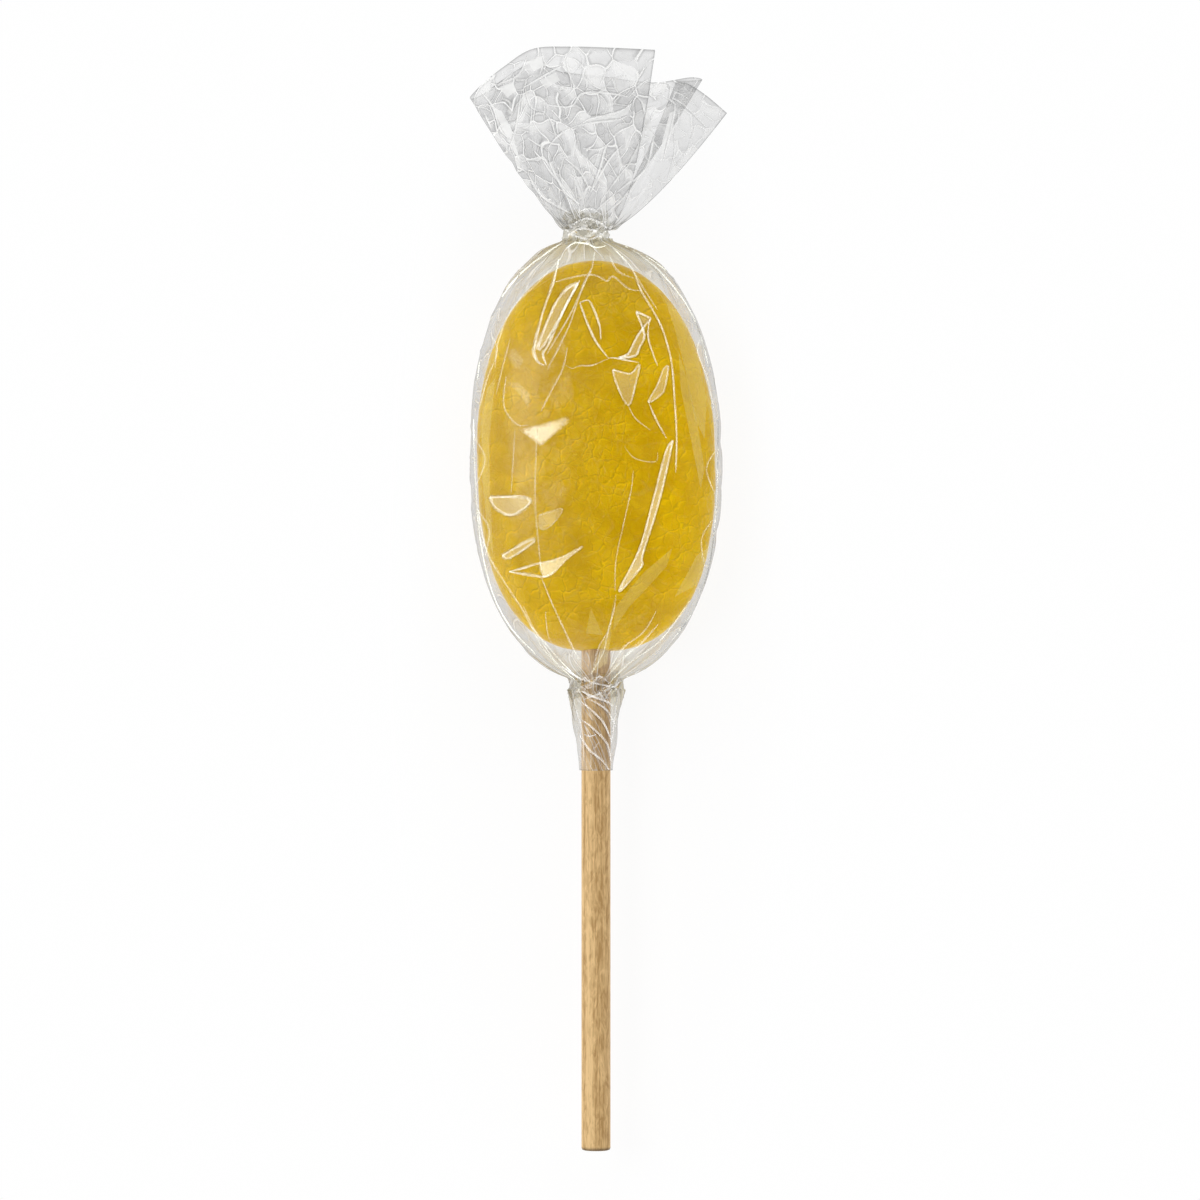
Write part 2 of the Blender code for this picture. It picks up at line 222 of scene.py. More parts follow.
# Creases of the film over the sweet: path and strength
CREASES_PX = (
    (((580, 283), (565, 311), (550, 345), (544, 356), (547, 367)), 0.9),
    (((559, 261), (554, 284), (544, 313), (537, 341), (535, 354), (539, 364), (546, 368)), 0.9),
    (((580, 305), (585, 319), (591, 334), (598, 347), (608, 360)), 0.9),
    (((580, 305), (589, 303), (596, 317), (600, 330), (601, 342)), 0.9),
    (((608, 360), (618, 361), (639, 365)), 0.85),
    (((566, 367), (572, 371), (580, 368), (591, 368), (604, 363), (609, 360)), 0.45),
    (((649, 322), (648, 341), (657, 368)), 0.8),
    (((648, 404), (655, 420), (666, 440)), 0.8),
    (((628, 407), (635, 420), (650, 432)), 0.4),
    (((633, 272), (641, 293), (655, 317), (664, 337), (671, 365), (674, 402), (676, 439), (675, 474)), 0.75),
    (((554, 285), (568, 281), (583, 278), (596, 278), (607, 284), (613, 279), (628, 291), (641, 293)), 0.35),
    (((511, 341), (504, 367), (497, 396)), 0.4),
    (((591, 272), (580, 298), (568, 332), (548, 372)), 0.45),
    (((568, 350), (563, 372), (552, 393), (542, 413)), 0.4),
    (((507, 378), (505, 408), (518, 426), (530, 426)), 0.45),
    (((510, 572), (542, 577), (554, 573)), 0.9),
    (((510, 572), (526, 568), (542, 563)), 0.9),
    (((542, 578), (552, 602), (563, 626), (580, 661)), 0.5),
    (((524, 606), (537, 633), (560, 668)), 0.4),
    (((478, 504), (487, 550), (511, 591), (524, 611), (545, 650), (575, 680)), 0.45),
    (((516, 430), (512, 495)), 0.3),
    (((538, 430), (536, 498), (539, 541), (541, 563), (544, 578)), 0.3),
    (((633, 472), (631, 491), (624, 522), (616, 560), (615, 591)), 0.35),
    (((624, 448), (635, 460), (655, 463), (657, 454)), 0.3),
    (((640, 640), (622, 660), (607, 676)), 0.4),
    (((690, 600), (660, 640), (630, 662), (608, 684)), 0.45),
    (((564, 242), (544, 256), (522, 273), (502, 295), (491, 318)), 0.5),
    (((567, 253), (542, 281), (514, 309), (499, 343), (496, 370)), 0.4),
    (((595, 250), (592, 270), (584, 287), (570, 318), (547, 357)), 0.5),
    (((612, 248), (629, 267), (643, 290), (657, 312)), 0.5),
    (((618, 242), (640, 256), (663, 276), (685, 304), (699, 332), (708, 366)), 0.5),
    (((609, 256), (618, 273), (635, 281)), 0.5),
    (((567, 249), (576, 244), (587, 245), (596, 249), (606, 247)), 0.7),
    (((546, 611), (548, 632), (553, 645)), 0.4),
    (((530, 624), (543, 640), (561, 661), (574, 674)), 0.55),
    (((616, 594), (614, 609), (608, 632), (603, 653), (591, 674)), 0.55),
    (((609, 630), (599, 647), (593, 670)), 0.5),
    (((656, 611), (643, 632), (624, 647), (610, 668)), 0.5),
    (((658, 624), (639, 645), (618, 661)), 0.55),
    (((474, 420), (476, 480), (481, 540), (492, 590), (510, 626), (536, 654)), 0.4),
    (((718, 420), (716, 500), (710, 560), (696, 606), (672, 640)), 0.4),
    (((478, 380), (483, 340), (496, 308), (514, 282), (540, 258)), 0.35),
    (((715, 390), (708, 340), (694, 305), (672, 276), (646, 256)), 0.35),
    (((488, 330), (498, 352), (488, 380), (480, 410)), 0.35),
    (((476, 440), (486, 460), (477, 486)), 0.35),
    (((478, 510), (490, 530), (486, 556)), 0.35),
    (((704, 330), (697, 352), (707, 380), (713, 410)), 0.35),
    (((716, 450), (706, 470), (715, 496)), 0.35),
    (((712, 520), (701, 540), (704, 566)), 0.35),
)
# Creases of the knots and of the skirt round the dowel
KNOT_CREASES_PX = (
    (((581, 701), (594, 712), (604, 723), (611, 739)), 0.95),
    (((590, 699), (607, 710), (616, 727)), 0.9),
    (((581, 719), (592, 727), (607, 743), (611, 762)), 0.95),
    (((580, 735), (589, 749), (602, 760), (610, 771)), 0.95),
    (((584, 734), (590, 736), (596, 734)), 0.9),
    (((599, 742), (593, 749)), 0.8),
    (((591, 754), (591, 768)), 0.7),
    (((562, 666), (580, 678), (600, 684), (622, 688)), 0.9),
    (((640, 670), (620, 682), (600, 693), (584, 699)), 0.9),
    (((574, 686), (590, 695), (608, 702), (618, 712)), 0.95),
    (((582, 675), (592, 682), (600, 676), (609, 683)), 0.8),
    (((628, 676), (612, 689), (604, 700)), 0.8),
    (((572, 690), (576, 708), (582, 730), (584, 760)), 0.5),
    (((618, 694), (615, 715), (611, 745)), 0.5),
    (((568, 236), (580, 230), (594, 232), (608, 238)), 0.9),
    (((572, 226), (586, 220), (600, 224), (610, 232)), 0.9),
    (((565, 230), (578, 238), (592, 240), (606, 232)), 0.7),
    (((578, 214), (590, 210), (602, 216)), 0.9),
    (((588, 222), (594, 232), (602, 240)), 0.7),
)
# Creases of the tuft
TUFT_CREASES_PX = (
    (((580, 128), (591, 122), (609, 118), (623, 113), (632, 106)), 0.95),
    (((577, 129), (594, 126), (617, 123), (627, 119)), 0.95),
    (((548, 151), (556, 141), (566, 134), (577, 129)), 0.95),
    (((548, 151), (551, 166), (564, 192), (580, 206)), 0.9),
    (((591, 194), (600, 171), (606, 150), (613, 142)), 0.95),
    (((591, 194), (580, 174), (564, 160)), 0.9),
    (((591, 194), (609, 163), (623, 147)), 0.95),
    (((583, 151), (600, 152), (613, 142)), 0.9),
    (((600, 152), (593, 174)), 0.8),
    (((632, 97), (642, 105), (645, 122), (641, 142), (629, 166), (622, 174)), 0.95),
    (((655, 131), (649, 160), (641, 174), (617, 194)), 0.95),
    (((565, 58), (571, 81), (574, 93), (562, 103)), 0.8),
    (((580, 58), (583, 67), (574, 78)), 0.8),
    (((542, 54), (548, 70), (565, 68)), 0.9),
    (((528, 60), (519, 78), (498, 87)), 0.9),
    (((585, 76), (591, 87), (603, 94)), 0.8),
    (((606, 76), (600, 89)), 0.8),
    (((525, 90), (542, 81), (562, 70)), 0.9),
    (((525, 90), (532, 110), (545, 115)), 0.8),
    (((548, 108), (571, 110), (583, 97), (609, 97), (629, 100)), 0.9),
    (((481, 93), (493, 108), (501, 131), (513, 142)), 0.9),
    (((487, 82), (498, 87), (513, 76)), 0.8),
    (((484, 113), (507, 157), (528, 174)), 0.9),
    (((507, 157), (516, 131), (522, 93)), 0.85),
    (((522, 163), (542, 160), (551, 171)), 0.9),
    (((542, 160), (551, 174), (571, 197), (580, 209)), 0.8),
    (((528, 174), (542, 197), (571, 215)), 0.85),
    (((617, 194), (600, 209), (594, 215)), 0.9),
    (((641, 174), (623, 200), (606, 215)), 0.9),
    (((528, 140), (540, 148), (548, 151)), 0.8),
    (((516, 131), (530, 128), (532, 110)), 0.8),
    (((556, 141), (552, 125), (545, 115)), 0.8),
    (((573, 175), (580, 186), (586, 204)), 0.8),
    (((564, 160), (560, 176), (566, 190)), 0.7),
    (((629, 166), (618, 180), (606, 196)), 0.85),
    (((645, 122), (655, 131)), 0.8),
    (((629, 100), (640, 88), (652, 80)), 0.8),
    (((603, 94), (612, 84), (626, 79)), 0.7),
    (((661, 79), (671, 82), (670, 99), (675, 110), (664, 160)), 0.8),
    (((659, 90), (672, 98), (687, 108), (708, 129)), 0.7),
    (((673, 122), (675, 151), (668, 178)), 0.6),
    (((696, 122), (687, 151), (670, 171)), 0.5),
)
# Facets of the tuft with painted highlights: white patches where the film would glint
TUFT_GLINTS_PX = (
    ((577, 129), (591, 122), (609, 118), (623, 113), (632, 106), (628, 116), (617, 122), (594, 127)),
    ((641, 105), (649, 108), (654, 130), (651, 142), (645, 122)),
    ((670, 113), (675, 111), (671, 128), (661, 162), (662, 142)),
    ((493, 108), (503, 131), (513, 151), (520, 162), (512, 131), (502, 113)),
    ((499, 90), (513, 85), (517, 93), (508, 100)),
    ((528, 65), (544, 59), (547, 69), (534, 75)),
    ((661, 80), (668, 81), (663, 94)),
    ((540, 84), (556, 76), (560, 84), (546, 92)),
)

# The look of the film: scales are in waves for each metre, and shares are of one cell
WHITE = (1.0, 1.0, 1.0, 1.0)
MILK = (0.98, 0.98, 0.97, 1.0)
# Painted sheen: the yellowish whiteness of film lying double over the sweet
PAINTED_SHEEN_YELLOW = (0.98, 0.80, 0.24, 1.0)
YELLOWED_GLEAM = (0.98, 1.0, 0.87, 1.0)
UNSEEN_FILM = (0.92, 0.92, 0.92, 1.0)
FILM_IOR = 1.42
WARP_SCALE = 180.0
WARP_SHARE = 0.85
PATCH_SCALE = 260.0
WAVE_SCALE = 700.0
WAVE_HEIGHT = 0.00012
CREASE_SHARE = 0.052
FINE_CELL_SHARE = 0.45
FINE_CREASE_SHARE = 0.075
FOLDED_FILM = dict(clearness=0.985, cell_size=0.0058, backlit=0.05, waviness=0.2)

# The colours of the sweet and of the dowel
SUGAR_DARK = (0.68, 0.415, 0.002, 1.0)
SUGAR_LIGHT = (0.82, 0.53, 0.003, 1.0)
# Painted glow: a faint light that the sugar gives of its own
SUGAR_PAINTED_GLOW = (1.0, 0.60, 0.002, 1.0)
SUGAR_DEPTHS = (0.8, 0.68, 0.10)
# How far apart the painted light and the painted shade of each relief stroke lie
SUGAR_STROKE = 0.00022
WOOD_DARK = (0.44, 0.26, 0.095, 1.0)
WOOD_LIGHT = (0.80, 0.545, 0.258, 1.0)

# The studio
STAGE_RADIUS = 3.0
STAGE_SIDES = 96
WALL_HEIGHT = 2.2
WALL_COLOUR = (0.20, 0.20, 0.20, 1.0)
WALL_GLOW = 0.78
WALL_FALL = 0.08
FLOOR_COLOUR = (0.12, 0.12, 0.12, 1.0)
FLOOR_GLOW = 0.885
FLOOR_FAR_GLOW = 0.997
WORLD_COLOUR = (0.03, 0.03, 0.03, 1.0)
CAMERA_HEIGHT = 1.2
SENSOR_WIDTH_MM = 36.0

# The softboxes: bearing and angle from straight up in degrees, size in metres, and radiance
BOX_DISTANCE = 1.7
LEFT_BOX = dict(name="left_box", azimuth=166, from_top=31, size=(0.8, 0.7), radiance=4.3)
RIGHT_BOX = dict(name="right_box", azimuth=8, from_top=66, size=(0.4, 1.0), radiance=0.6)
FAR_BOX = dict(name="far_box", azimuth=84, from_top=56, size=(1.9, 1.0), radiance=2.0)
NEAR_BOX = dict(name="near_box", azimuth=278, from_top=58, size=(1.9, 1.0), radiance=2.1)


def at_pixels(path):
    """Turns points of the photograph into metres on the floor plane."""
    points = np.array(path, float)
    return np.stack([(points[:, 0] - ORIGIN_PX[0]) * PIXEL, (ORIGIN_PX[1] - points[:, 1]) * PIXEL], axis=1)


def smooth_step(value, low=0.0, high=1.0):
    """Eases from 0 to 1 as the value goes from low to high, flat at both ends."""
    t = np.clip((value - low) / (high - low), 0.0, 1.0)
    return t * t * (3.0 - 2.0 * t)


def larger_of(a, b, sharpness=7.0):
    """The larger of two lengths, rounded where they cross."""
    return (a**sharpness + b**sharpness) ** (1.0 / sharpness)


def bulge(share, roundness):
    """Half-width of a superellipse at a share of its half-length."""
    return np.maximum(0.0, 1.0 - np.abs(share) ** roundness) ** (1.0 / roundness)


def distance_to_path(x, y, path):
    """Distance from each point to a path of straight stretches."""
    nearest = np.full(x.shape, 1.0)
    for start, end in zip(path, path[1:]):
        along = end - start
        share = ((x - start[0]) * along[0] + (y - start[1]) * along[1]) / (along @ along)
        share = np.clip(share, 0.0, 1.0)
        gap = np.hypot(x - start[0] - share * along[0], y - start[1] - share * along[1])
        nearest = np.minimum(nearest, gap)
    return nearest


def depth_inside(x, y, outline):
    """How far inside a closed outline each point is, negative outside it."""
    closed = np.concatenate([outline, outline[:1]])
    inside = np.zeros(x.shape, bool)
    for start, end in zip(closed, closed[1:]):
        crosses = (start[1] > y) != (end[1] > y)
        rise = end[1] - start[1] if end[1] != start[1] else 1e-12
        inside ^= crosses & (x < start[0] + (y - start[1]) * (end[0] - start[0]) / rise)
    edge = distance_to_path(x, y, closed)
    return np.where(inside, edge, -edge)


def crumple(sheet, size):
    """Cells of crumpled film: the gap to the nearest edge, and a chance from -1 to 1 for each cell."""
    found = []
    for place in sheet.reshape(-1, 3) / size:
        distances, centres = noise.voronoi(Vector(place))
        found.append(((distances[1] - distances[0]) * size / 2, 2.0 * noise.cell(centres[0] * 7.3) - 1.0))
    found = np.array(found).reshape(sheet.shape[:2] + (2,))
    return found[..., 0], found[..., 1]


def ridge(gap, width):
    """A narrow crest along a crease."""
    return np.exp(-((gap / width) ** 2))


def grid_normals(points, closed):
    """Outward unit normals of a grid of points, rows by columns."""
    along = np.gradient(points, axis=0)
    if closed:
        across = np.roll(points, -1, axis=1) - np.roll(points, 1, axis=1)
    else:
        across = np.gradient(points, axis=1)
    normals = np.cross(along, across)
    return normals / np.maximum(np.linalg.norm(normals, axis=2, keepdims=True), 1e-12)


def mark_mesh(mesh, marks, vectors):
    """Stores a number and a vector attribute on every point of a mesh, for its material."""
    for label, values in marks.items():
        attribute = mesh.attributes.new(label, "FLOAT", "POINT")
        attribute.data.foreach_set("value", np.clip(values, -1.0, 1.0).astype(np.float32).ravel())
    for label, values in vectors.items():
        attribute = mesh.attributes.new(label, "FLOAT_VECTOR", "POINT")
        attribute.data.foreach_set("vector", np.asarray(values, np.float32).ravel())


def add_object(name, mesh, look):
    """A smooth object with one material, linked to the scene."""
    mesh.shade_smooth()
    mesh.materials.append(look)
    obj = bpy.data.objects.new(name, mesh)
    bpy.context.scene.collection.objects.link(obj)
    return obj


def sheet_object(name, points, marks, vectors, look, closed):
    """A thin sheet from a grid of points.

    Its marks are shares: haze is whiteness, partly the film's milkiness and partly painted highlight, dark
    is darkening, from stacked layers and in places painted shade, warm is a painted reflection of the
    sweet's and the dowel's yellow in bunched film, fold is added gloss, or less gloss below 0, and net is
    how much the crumpling shows. Of its vectors, lean turns the gloss away from the sheet's own normal,
    and flat is the place on the sheet laid flat.
    """
    rows, columns = points.shape[:2]
    index = np.arange(rows * columns).reshape(rows, columns)
    after = np.roll(index, -1, axis=1)
    if not closed:
        index, after = index[:, :-1], after[:, :-1]
    faces = np.stack([index[:-1], index[1:], after[1:], after[:-1]], axis=-1).reshape(-1, 4)
    mesh = bpy.data.meshes.new(name)
    mesh.from_pydata(points.reshape(-1, 3).tolist(), [], faces.tolist())
    mark_mesh(mesh, marks, vectors)
    return add_object(name, mesh, look)


class Nodes:
    """A small helper that adds and links the nodes of one material."""

    def __init__(self, name):
        self.material = bpy.data.materials.new(name)
        self.material.use_nodes = True
        self.tree = self.material.node_tree
        self.tree.nodes.clear()

    def add(self, kind, inputs=None, **settings):
        """Adds a shader node. Inputs are values or other nodes' sockets, by name or number."""
        node = self.tree.nodes.new("ShaderNode" + kind)
        for key, value in settings.items():
            setattr(node, key, value)
        for key, value in (inputs or {}).items():
            if isinstance(value, bpy.types.NodeSocket):
                self.tree.links.new(value, node.inputs[key])
            else:
                node.inputs[key].default_value = value
        return node

    def math(self, operation, *values, use_clamp=False):
        """The result of a Math node."""
        node = self.add("Math", dict(enumerate(values)), operation=operation, use_clamp=use_clamp)
        return node.outputs[0]

    def times(self, first, second):
        """The product of two numbers."""
        return self.math("MULTIPLY", first, second)

    def times_plus(self, value, factor, extra, use_clamp=False):
        """A number times a factor, and something added."""
        return self.math("MULTIPLY_ADD", value, factor, extra, use_clamp=use_clamp)

    def plus(self, first, second, use_clamp=False):
        """The sum of two numbers."""
        return self.math("ADD", first, second, use_clamp=use_clamp)

    def minus(self, first, second, use_clamp=False):
        """The first number less the second."""
        return self.math("SUBTRACT", first, second, use_clamp=use_clamp)

    def mark(self, label, socket="Fac"):
        """A number or vector that is stored on the mesh."""
        return self.add("Attribute", attribute_name=label).outputs[socket]

    def place(self):
        """The place on the piece, in metres."""
        return self.add("TexCoord").outputs["Object"]

    def noise_texture(self, vector, scale, socket="Fac", sides="3D", **inputs):
        """The number or the colour of a Noise texture."""
        inputs = {"Vector": vector, "Scale": scale, **inputs}
        return self.add("TexNoise", inputs, noise_dimensions=sides).outputs[socket]

    def cell_edges(self, vector, scale, sides="3D"):
        """The distance to the nearest edge between the cells of a Voronoi texture."""
        place = {"Vector": vector, "Scale": scale}
        node = self.add("TexVoronoi", place, feature="DISTANCE_TO_EDGE", voronoi_dimensions=sides)
        return node.outputs["Distance"]

    def ramp(self, value, dark_at, dark, light_at, light):
        """A colour that goes from dark to light as the value rises."""
        node = self.add("ValToRGB", {"Fac": value})
        for element, position, colour in zip(node.color_ramp.elements, (dark_at, light_at), (dark, light)):
            element.position = position
            element.color = colour
        return node.outputs["Color"]

    def mixed(self, share, first, second):
        """The node that mixes the shaders of two nodes."""
        return self.add("MixShader", {0: share, 1: first.outputs[0], 2: second.outputs[0]})

    def summed(self, first, second):
        """The node that adds the shaders of two nodes."""
        return self.add("AddShader", {0: first.outputs[0], 1: second.outputs[0]})

    def glow(self, strength):
        """The node of a white light that the surface gives."""
        return self.add("Emission", {"Color": WHITE, "Strength": strength})

    def vector(self, operation, *values):
        """The result of a Vector Math node."""
        return self.add("VectorMath", dict(enumerate(values)), operation=operation).outputs[0]

    def scaled(self, vector, factor):
        """A vector times a number."""
        return self.add("VectorMath", {0: vector, "Scale": factor}, operation="SCALE").outputs[0]

    def stepped(self, value, low, high):
        """Eases from 0 to 1 as the value goes from low to high, which may be the smaller."""
        limits = {"Value": value, "From Min": low, "From Max": high}
        return self.add("MapRange", limits, interpolation_type="SMOOTHSTEP").outputs["Result"]

    def crumpled(self, flat, size, width):
        """Creases between cells of crumpled film, the bands beside them that carry painted shade, and each
        cell's tone, random with a painted slope of light across the cell.
        """
        edges = self.cell_edges(flat, 1.0 / size, "2D")
        place = {"Vector": flat, "Scale": 1.0 / size}
        cells = self.add("TexVoronoi", place, feature="F1", voronoi_dimensions="2D")
        chance = self.add("SeparateColor", {"Color": cells.outputs["Color"]}).outputs
        from_middle = self.vector("SUBTRACT", flat, cells.outputs["Position"])
        away = self.add("SeparateXYZ", {"Vector": from_middle}).outputs
        # Painted light: each cell's tone slopes across it, partly at random, partly the same way in all
        # cells
        leaning = self.minus(chance[1], 0.6)
        slope = self.times_plus(away["X"], leaning, self.times(away["Y"], 0.5))
        tone = self.times_plus(slope, 1.5 / size, chance[0], use_clamp=True)
        crease = self.stepped(edges, width, width * 0.25)
        band = self.minus(self.stepped(edges, width * 3.0, width), crease, use_clamp=True)
        return crease, band, tone

    def finish(self, shader):
        """Links a shader's node to the output and returns the material."""
        self.add("OutputMaterial", {"Surface": shader.outputs[0]})
        return self.material


def film_crumpling(nodes, cell_size, glint):
    """The white lines and the grey shade of crumpled film, with finer creases between the main ones.

    The lines are partly whitened film and partly painted highlight, the brightest cells are painted
    highlight, and the grey is painted shade.
    """
    flat = nodes.mark("flat", "Vector")
    warp = nodes.noise_texture(flat, WARP_SCALE, "Color", "2D", Detail=0.0)
    warp = nodes.vector("SUBTRACT", warp, (0.5, 0.5, 0.5))
    bent = nodes.vector("ADD", flat, nodes.scaled(warp, cell_size * WARP_SHARE))
    creases, bands, tones = nodes.crumpled(bent, cell_size, CREASE_SHARE)
    fine_size = cell_size * FINE_CELL_SHARE
    fine_creases, fine_bands, fine_tones = nodes.crumpled(bent, fine_size, FINE_CREASE_SHARE)
    patchy = nodes.noise_texture(flat, PATCH_SCALE, sides="2D", Detail=0.0)
    here = nodes.stepped(patchy, 0.32, 0.48)
    fine_here = nodes.stepped(patchy, 0.60, 0.42)
    # Painted highlight: the brightest cells whiten
    lit = nodes.times(nodes.stepped(tones, 0.72, 1.0), glint)
    lines = nodes.plus(nodes.times(creases, here), lit)
    lines = nodes.times_plus(nodes.times(fine_creases, fine_here), 0.18, lines)
    # Painted shade: the cells grey by their tone, and more in the bands beside the creases
    shade = nodes.times_plus(fine_tones, -0.05, nodes.times_plus(tones, -0.11, 0.175))
    shade = nodes.times_plus(nodes.times(bands, here), 0.20, shade)
    shade = nodes.times_plus(nodes.times(fine_bands, fine_here), 0.04, shade)
    return lines, shade


def film_material(
    name, clearness, cell_size, backlit=0.35, waviness=0.5, gleam=WHITE, milk=MILK, glint=0.28, most=0.26
):
    """Clear film: it lets light through, greys where it is seen edge on, glints, and whitens at creases.

    The crumpling is drawn on the sheet laid flat, so its cells draw out into pleats where it is gathered.
    Clearness is the light that one layer lets through, and backlit the share of its whiteness that is lit
    from behind. Gleam and milk are the colours of its gloss and its whiteness, glint is the whiteness of its
    brightest cells, which is painted highlight, and most is the largest share of light that it mirrors. The
    whitening at creases is partly painted highlight, the grey of its cells is painted shade, and bunched
    film takes a painted reflection of the sweet's and the dowel's yellow.
    """
    nodes = Nodes(name)
    haze_and_glint, dark, fold, net, painted_warmth = [nodes.mark(label) for label in ("haze_and_glint", "dark", "fold", "net", "painted_warmth")]
    facing = nodes.add("LayerWeight", {"Blend": 0.5}).outputs["Facing"]
    straight = nodes.math("MAXIMUM", nodes.minus(1.0, facing), 0.17)
    net = nodes.times(net, nodes.stepped(straight, 0.12, 0.45))
    lines, shade = film_crumpling(nodes, cell_size, glint)
    # Whiteness: creases and the brightest cells, partly painted highlight, over the film's own milkiness
    whitened = nodes.times_plus(lines, net, haze_and_glint, use_clamp=True)

    through = nodes.math("POWER", clearness, nodes.math("DIVIDE", 1.0, straight))
    # What passes through loses light to darkening, to the cells' painted shade and to painted reflection
    for lost in (dark, nodes.times(shade, net), painted_warmth):
        through = nodes.times(through, nodes.minus(1.0, lost))
    # Painted reflection: bunched film takes on the yellow of the sweet and the dowel
    green = nodes.times(through, nodes.times_plus(painted_warmth, -0.30, 1.0))
    blue = nodes.times(through, nodes.times_plus(painted_warmth, -1.4, 1.0))
    tinted = nodes.add("CombineColor", {"Red": through, "Green": green, "Blue": blue}).outputs[0]
    clear = nodes.add("BsdfTransparent", {"Color": tinted})

    waves = nodes.noise_texture(nodes.place(), WAVE_SCALE, Detail=0.0)
    own = nodes.add("Bump", {"Strength": waviness, "Distance": WAVE_HEIGHT, "Height": waves})
    turned = nodes.vector("NORMALIZE", nodes.vector("ADD", own.outputs[0], nodes.mark("lean", "Vector")))
    rough = nodes.times_plus(fold, -0.18, 0.30)
    gloss = nodes.add("BsdfGlossy", {"Color": gleam, "Roughness": rough, "Normal": turned})
    fresnel = nodes.add("Fresnel", {"IOR": FILM_IOR}).outputs[0]
    mirror = nodes.times(fresnel, nodes.times_plus(fold, 3.6, 1.0))
    film = nodes.mixed(nodes.math("MINIMUM", mirror, most), clear, gloss)

    front = nodes.add("BsdfDiffuse", {"Color": milk})
    back = nodes.add("BsdfTranslucent", {"Color": milk})
    whole = nodes.mixed(whitened, film, nodes.mixed(backlit, front, back))
    path = nodes.add("LightPath").outputs
    unseen = nodes.plus(path["Is Shadow Ray"], path["Is Diffuse Ray"])
    unseen = nodes.plus(unseen, path["Is Glossy Ray"], use_clamp=True)
    plain = nodes.add("BsdfTransparent", {"Color": UNSEEN_FILM})
    return nodes.finish(nodes.mixed(unseen, whole, plain))


def candy_material():
    """Cloudy yellow sugar with soft darker patches, fine swirls and a low relief of small cells.

    In patches, strokes of the relief are painted lighter on one side and darker on the other, the right
    side is painted lighter and the top darker, and the sugar has a faint painted glow.
    """
    nodes = Nodes("yellow_sugar")
    place = nodes.place()
    clouds = nodes.noise_texture(place, 140.0, Detail=3.0, Roughness=0.55, Distortion=0.6)
    swirls = nodes.noise_texture(place, 300.0, Distortion=3.0)
    curled = nodes.scaled(nodes.noise_texture(place, 420.0, "Color"), 0.0022)
    curled = nodes.vector("ADD", place, curled)
    strokes = []
    for shift in (0.0, SUGAR_STROKE):
        spot = nodes.vector("ADD", curled, (-shift, shift, 0.0))
        strokes.append(nodes.stepped(nodes.cell_edges(spot, 380.0), 0.09, 0.0))
    # Painted light and shade: each stroke of the relief is lighter on one side and darker on the other
    painted_emboss = nodes.minus(strokes[1], strokes[0])
    painted_emboss = nodes.times(painted_emboss, nodes.stepped(clouds, 0.40, 0.60))
    large_lines = nodes.stepped(nodes.cell_edges(place, 150.0), 0.06, 0.0)
    tone = nodes.times_plus(painted_emboss, 0.20, nodes.times_plus(swirls, 0.16, 0.88))
    across, along = nodes.add("SeparateXYZ", {"Vector": place}).outputs[:2]
    # Painted light and shade: the right side of the sweet is painted lighter and its top darker
    tone = nodes.times_plus(nodes.stepped(across, 0.004, 0.018), 0.11, tone)
    tone = nodes.times_plus(nodes.stepped(along, 0.024, 0.037), -0.12, tone)
    colour = nodes.ramp(clouds, 0.36, SUGAR_DARK, 0.66, SUGAR_LIGHT)
    relief = nodes.times_plus(large_lines, 0.30, swirls)
    relief = nodes.times_plus(strokes[0], 0.22, relief)
    bump = nodes.add("Bump", {"Strength": 0.45, "Distance": 0.0005, "Height": relief})
    sugar = {
        "Base Color": nodes.scaled(colour, tone),
        "Roughness": 0.28,
        "Subsurface Weight": 0.6,
        "Subsurface Radius": SUGAR_DEPTHS,
        "Subsurface Scale": 0.005,
        "Specular IOR Level": 0.15,
        # Painted glow: the sugar gives a faint light of its own
        "Emission Color": SUGAR_PAINTED_GLOW,
        "Emission Strength": 0.05,
        "Normal": bump.outputs[0],
    }
    return nodes.finish(nodes.add("BsdfPrincipled", sugar))


def wood_material():
    """Pale birch: growth rings cut lengthwise, fine fibres and curled grain, and painted shade at its end.
    """
    nodes = Nodes("pale_wood")
    place = nodes.place()
    drawn = {"Vector": place, "Location": (0.004, 0.0, -0.006), "Scale": (1.0, 0.035, 1.0)}
    stretched = nodes.add("Mapping", drawn).outputs[0]
    curled = nodes.add("Mapping", {"Vector": place, "Scale": (1.0, 0.26, 1.0)}).outputs[0]
    waves = {"Vector": stretched, "Scale": 150.0, "Distortion": 3.0, "Detail": 2.0, "Detail Scale": 1.2}
    rings = nodes.add("TexWave", waves, wave_type="RINGS", rings_direction="Y").outputs["Fac"]
    fibre = nodes.noise_texture(stretched, 2600.0, Detail=3.0, Roughness=0.6)
    curls = nodes.noise_texture(curled, 900.0, Detail=3.0, Roughness=0.6, Distortion=1.6)
    grain = nodes.plus(nodes.times(rings, 0.22), nodes.times(fibre, 0.95))
    grain = nodes.times_plus(nodes.minus(curls, 0.5), 0.9, grain)
    lengthwise = nodes.add("SeparateXYZ", {"Vector": place}).outputs["Y"]
    # Painted shade: the wood darkens close to the dowel's end
    end = nodes.stepped(lengthwise, STICK_LOW.y + 0.0009, STICK_LOW.y + 0.0002)
    tone = nodes.times_plus(end, -0.70, 1.0)
    bump = nodes.add("Bump", {"Strength": 0.25, "Distance": 0.0002, "Height": fibre})
    wood = {
        "Base Color": nodes.scaled(nodes.ramp(grain, 0.34, WOOD_DARK, 0.74, WOOD_LIGHT), tone),
        "Roughness": 0.62,
        "Specular IOR Level": 0.3,
        "Normal": bump.outputs[0],
    }
    return nodes.finish(nodes.add("BsdfPrincipled", wood))


